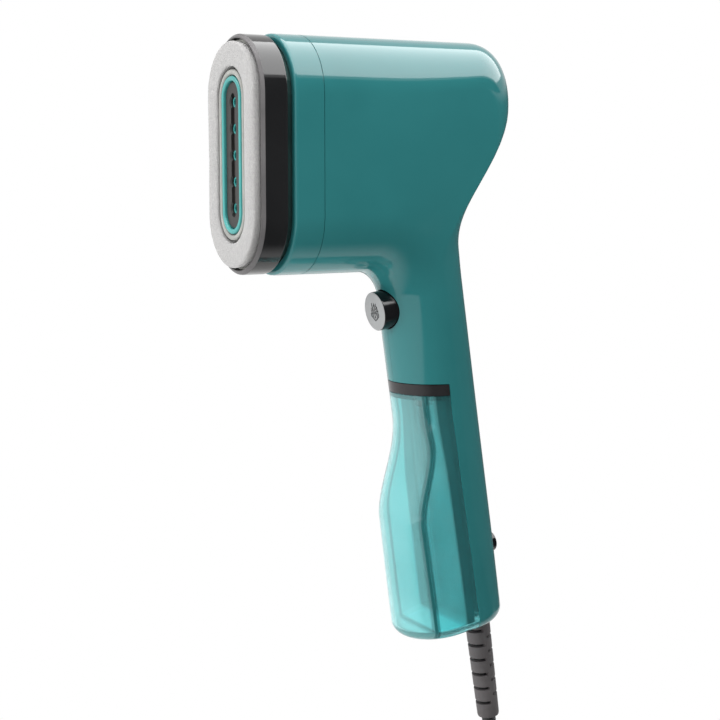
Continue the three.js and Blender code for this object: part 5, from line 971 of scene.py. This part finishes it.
# ---------------- inside the tank
# Spigot and suction tube in clear silicone, and the soft filling plug beside the spigot. The silicone's
# index is set well below its own 1.4, so that the tube hardly shows through the tank.
silicone, tree, shader = finish("clear_silicone", "#eefafa", 0.04, IOR=1.15, Transmission_Weight=0.97)
place = add(tree, "TexCoord").outputs["Object"]
cloud = add(tree, "TexNoise", {"Vector": place, "Scale": 1000 / 6, "Detail": 2.0})
dull = add(tree, "MapRange",
           {"Value": cloud.outputs[0], "From Min": 0.3, "From Max": 0.7, "To Min": 0.02, "To Max": 0.06})
tree.links.new(dull.outputs[0], shader.inputs["Roughness"])
for name, line, at, sides, material, body, node, slot in (
        ("tank_spigot", [(1.1, -28.6), (2.3, -28.6), (2.6, -28.2), (2.6, -5.2), (2.3, -4.6), (1.1, -4.6)],
         ON_SPIGOT, 40, silicone, "tank", "tank_valve", "seal_rubber"),
        ("suction_pipe", [(1.1, -116.0), (1.8, -116.0), (2.0, -115.8), (2.0, -29.1), (1.8, -28.9), (1.1, -28.9)],
         ON_SPIGOT, 40, silicone, "tank", "suction_tube", "silicone"),
        ("fill_stopper", [(0.02, -21.6), (3.4, -21.6), (3.9, -21.1), (3.9, -12.8), (3.9, -11.4), (3.55, -10.7),
                          (2.9, -10.4), (1.2, -10.4), (1.0, -10.7), (0.02, -10.75)],
         ON_FILLER, 56, rubber, "filler", "filler_plug", "seal_rubber")):
    piece = lathe(name, line, at, sides=sides)
    keep(piece, material)
    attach(piece, body)
    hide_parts(node)

# ---------------- power button
# Domed round button in gloss black at the back of the handle's foot, held by a flange inside.
dome = np.array([(0.02, 13.3), (5.6, 13.3), (5.6, 14.5), (4.6, 14.5), (4.6, 20.9), (4.54, 21.25), (4.35, 21.5),
                 (3.9, 21.68), (3.2, 21.78), (2.2, 21.84), (1.1, 21.87), (0.02, 21.88)])
power = lathe("power_cap", dome, (0, 0, POWER_Z), "y", sides=72)
keep(power, skirt_black, 40)
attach(power, "power")
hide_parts("power_button")

# ---------------- strain relief
# Tapered sleeve of soft black rubber where the lead leaves the foot. Slots cut in from both sides in
# turn let it bend; a neck and a flange hold it in the housing.
RELIEF_FOOT = -HANDLE - 0.3
sleeve = lathe("relief_sleeve", [(3.5, -119.1), (6.1, -119.1), (6.1, -121.1), (5.0, -121.1), (5.0, -123.9),
                                 (5.25, -124.1), (5.6, -129.3), (4.98, -172.4), (4.75, -173.3), (4.3, -173.6),
                                 (3.5, -173.6)], (0, LEAD_Y, 0), sides=72)
for i in range(11):
    side = 1 if i % 2 else -1
    middle = RELIEF_FOOT - 7 - 3.5 * i
    near, far = sorted((side * 0.6, side * 12))
    slot = upright(rectangle(LEAD_Y + near, LEAD_Y + far, middle - 0.8, middle + 0.8))
    carve(sleeve, "DIFFERENCE", prism("slot", slot, -12, 12))
keep(sleeve, rubber, 30)
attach(sleeve, "housing")
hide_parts("strain_relief")

# ---------------- screws
# Pan-head self-tapping screws in zinc-plated steel with a cross recess, deep in their seats.
zinc = moulded("zinc_plated_steel", "#a6a7a5", 0.32, ("#9d9e9c", "#b2b3b1"), (0.25, 0.42), 2.5, 0.3, 0.01,
               Metallic=1.0)


def screw_piece(name, node, seat, length, at, axis):
    """Pan head before its seat, shank behind it, and two crossed slots cut in the head."""
    line = [(0.02, -2.0), (1.6, -1.98), (2.3, -1.8), (2.72, -1.3), (2.8, -0.9), (2.8, -0.3), (1.4, -0.3),
            (1.4, length - 1.6), (0.02, length - 0.35)]
    piece = lathe(name, np.array(line) + (0, seat), at, axis, leaning=False, sides=32)
    across = at[1] if axis == "x" else at[0]
    for wide, high in ((0.32, 1.5), (1.5, 0.32)):
        cross = rectangle(across - wide, across + wide, at[2] - high, at[2] + high)
        carve(piece, "DIFFERENCE", prism("slot", cross, seat - 3, seat - 1.0, axis))
    keep(piece, zinc, 30)
    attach(piece, "housing")
    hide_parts(node)


for name, at in SCREWS.items():
    screw_piece(f"screw_{name}", f"housing_screw_{name}", -8, 18, (0, *at), "x")
for name, s in (("upper", 1), ("lower", -1)):
    screw_piece(f"screw_bezel_{name}", f"bezel_screw_{name}", -86.3, 9, (0, 0, HEAD_MIDDLE + s * SCREW_RISE), "y")
dress(zinc, "clamp_screw")

# ---------------- steam generator, pump and board
# Die-cast aluminium chamber with a pressed cover, silicone gasket, sheathed element, brass inlet, thermostat
# and fuse; below it the pump with its hoses, the switches, the control board and the wires. All of them are
# hidden, keep the CAD's shapes and take their own finish.
dress(moulded("die_cast_aluminium", "#b3b4b6", 0.5, ("#a9aaac", "#bebfc1"),
              (0.42, 0.6), 7, 0.6, 0.05, Metallic=1.0),
      "steam_chamber", "chamber_cover")
dress(moulded("stainless_element_sheath", "#8d8a86", 0.4, ("#7d7974", "#9b9894"),
              (0.32, 0.5), 10, 0.5, 0.01, Metallic=1.0),
      "heating_element", "thermal_fuse", "pump_bracket")
dress(moulded("milky_silicone", "#cfcac0", 0.45, ("#c8c3b8", "#d8d3ca"),
              (0.38, 0.55), 12, 0.6, 0.02, Subsurface_Weight=0.1, Subsurface_Scale=0.002),
      "chamber_gasket", "outlet_hose", "inlet_hose")
dress(moulded("turned_brass", "#b99a52", 0.3, ("#ad8e49", "#c5a75f"), (0.22, 0.38), 4, 0.3, 0.01, Metallic=1.0),
      "chamber_inlet")
dress(moulded("black_phenolic_moulding", "#232120", 0.45, ("#1e1c1b", "#2a2827"), (0.38, 0.55), 9, 0.5, 0.03),
      "thermostat", "relay", "capacitor", "micro_switch", "power_switch", "pump_body", "tank_socket",
      "cord_clamp")
dress(moulded("enamelled_copper_winding", "#a05a30", 0.3, ("#934f28", "#ae683b"),
              (0.22, 0.36), 3, 0.4, 0.06, Metallic=1.0),
      "pump_coil")
dress(moulded("green_glass_epoxy_board", "#22573a", 0.4, ("#1e5035", "#276243"), (0.34, 0.46), 11, 0.5, 0.02),
      "control_board")
dress(rubber, "seal_ring")
dress(pvc, "inner_lead", "mains_wires")
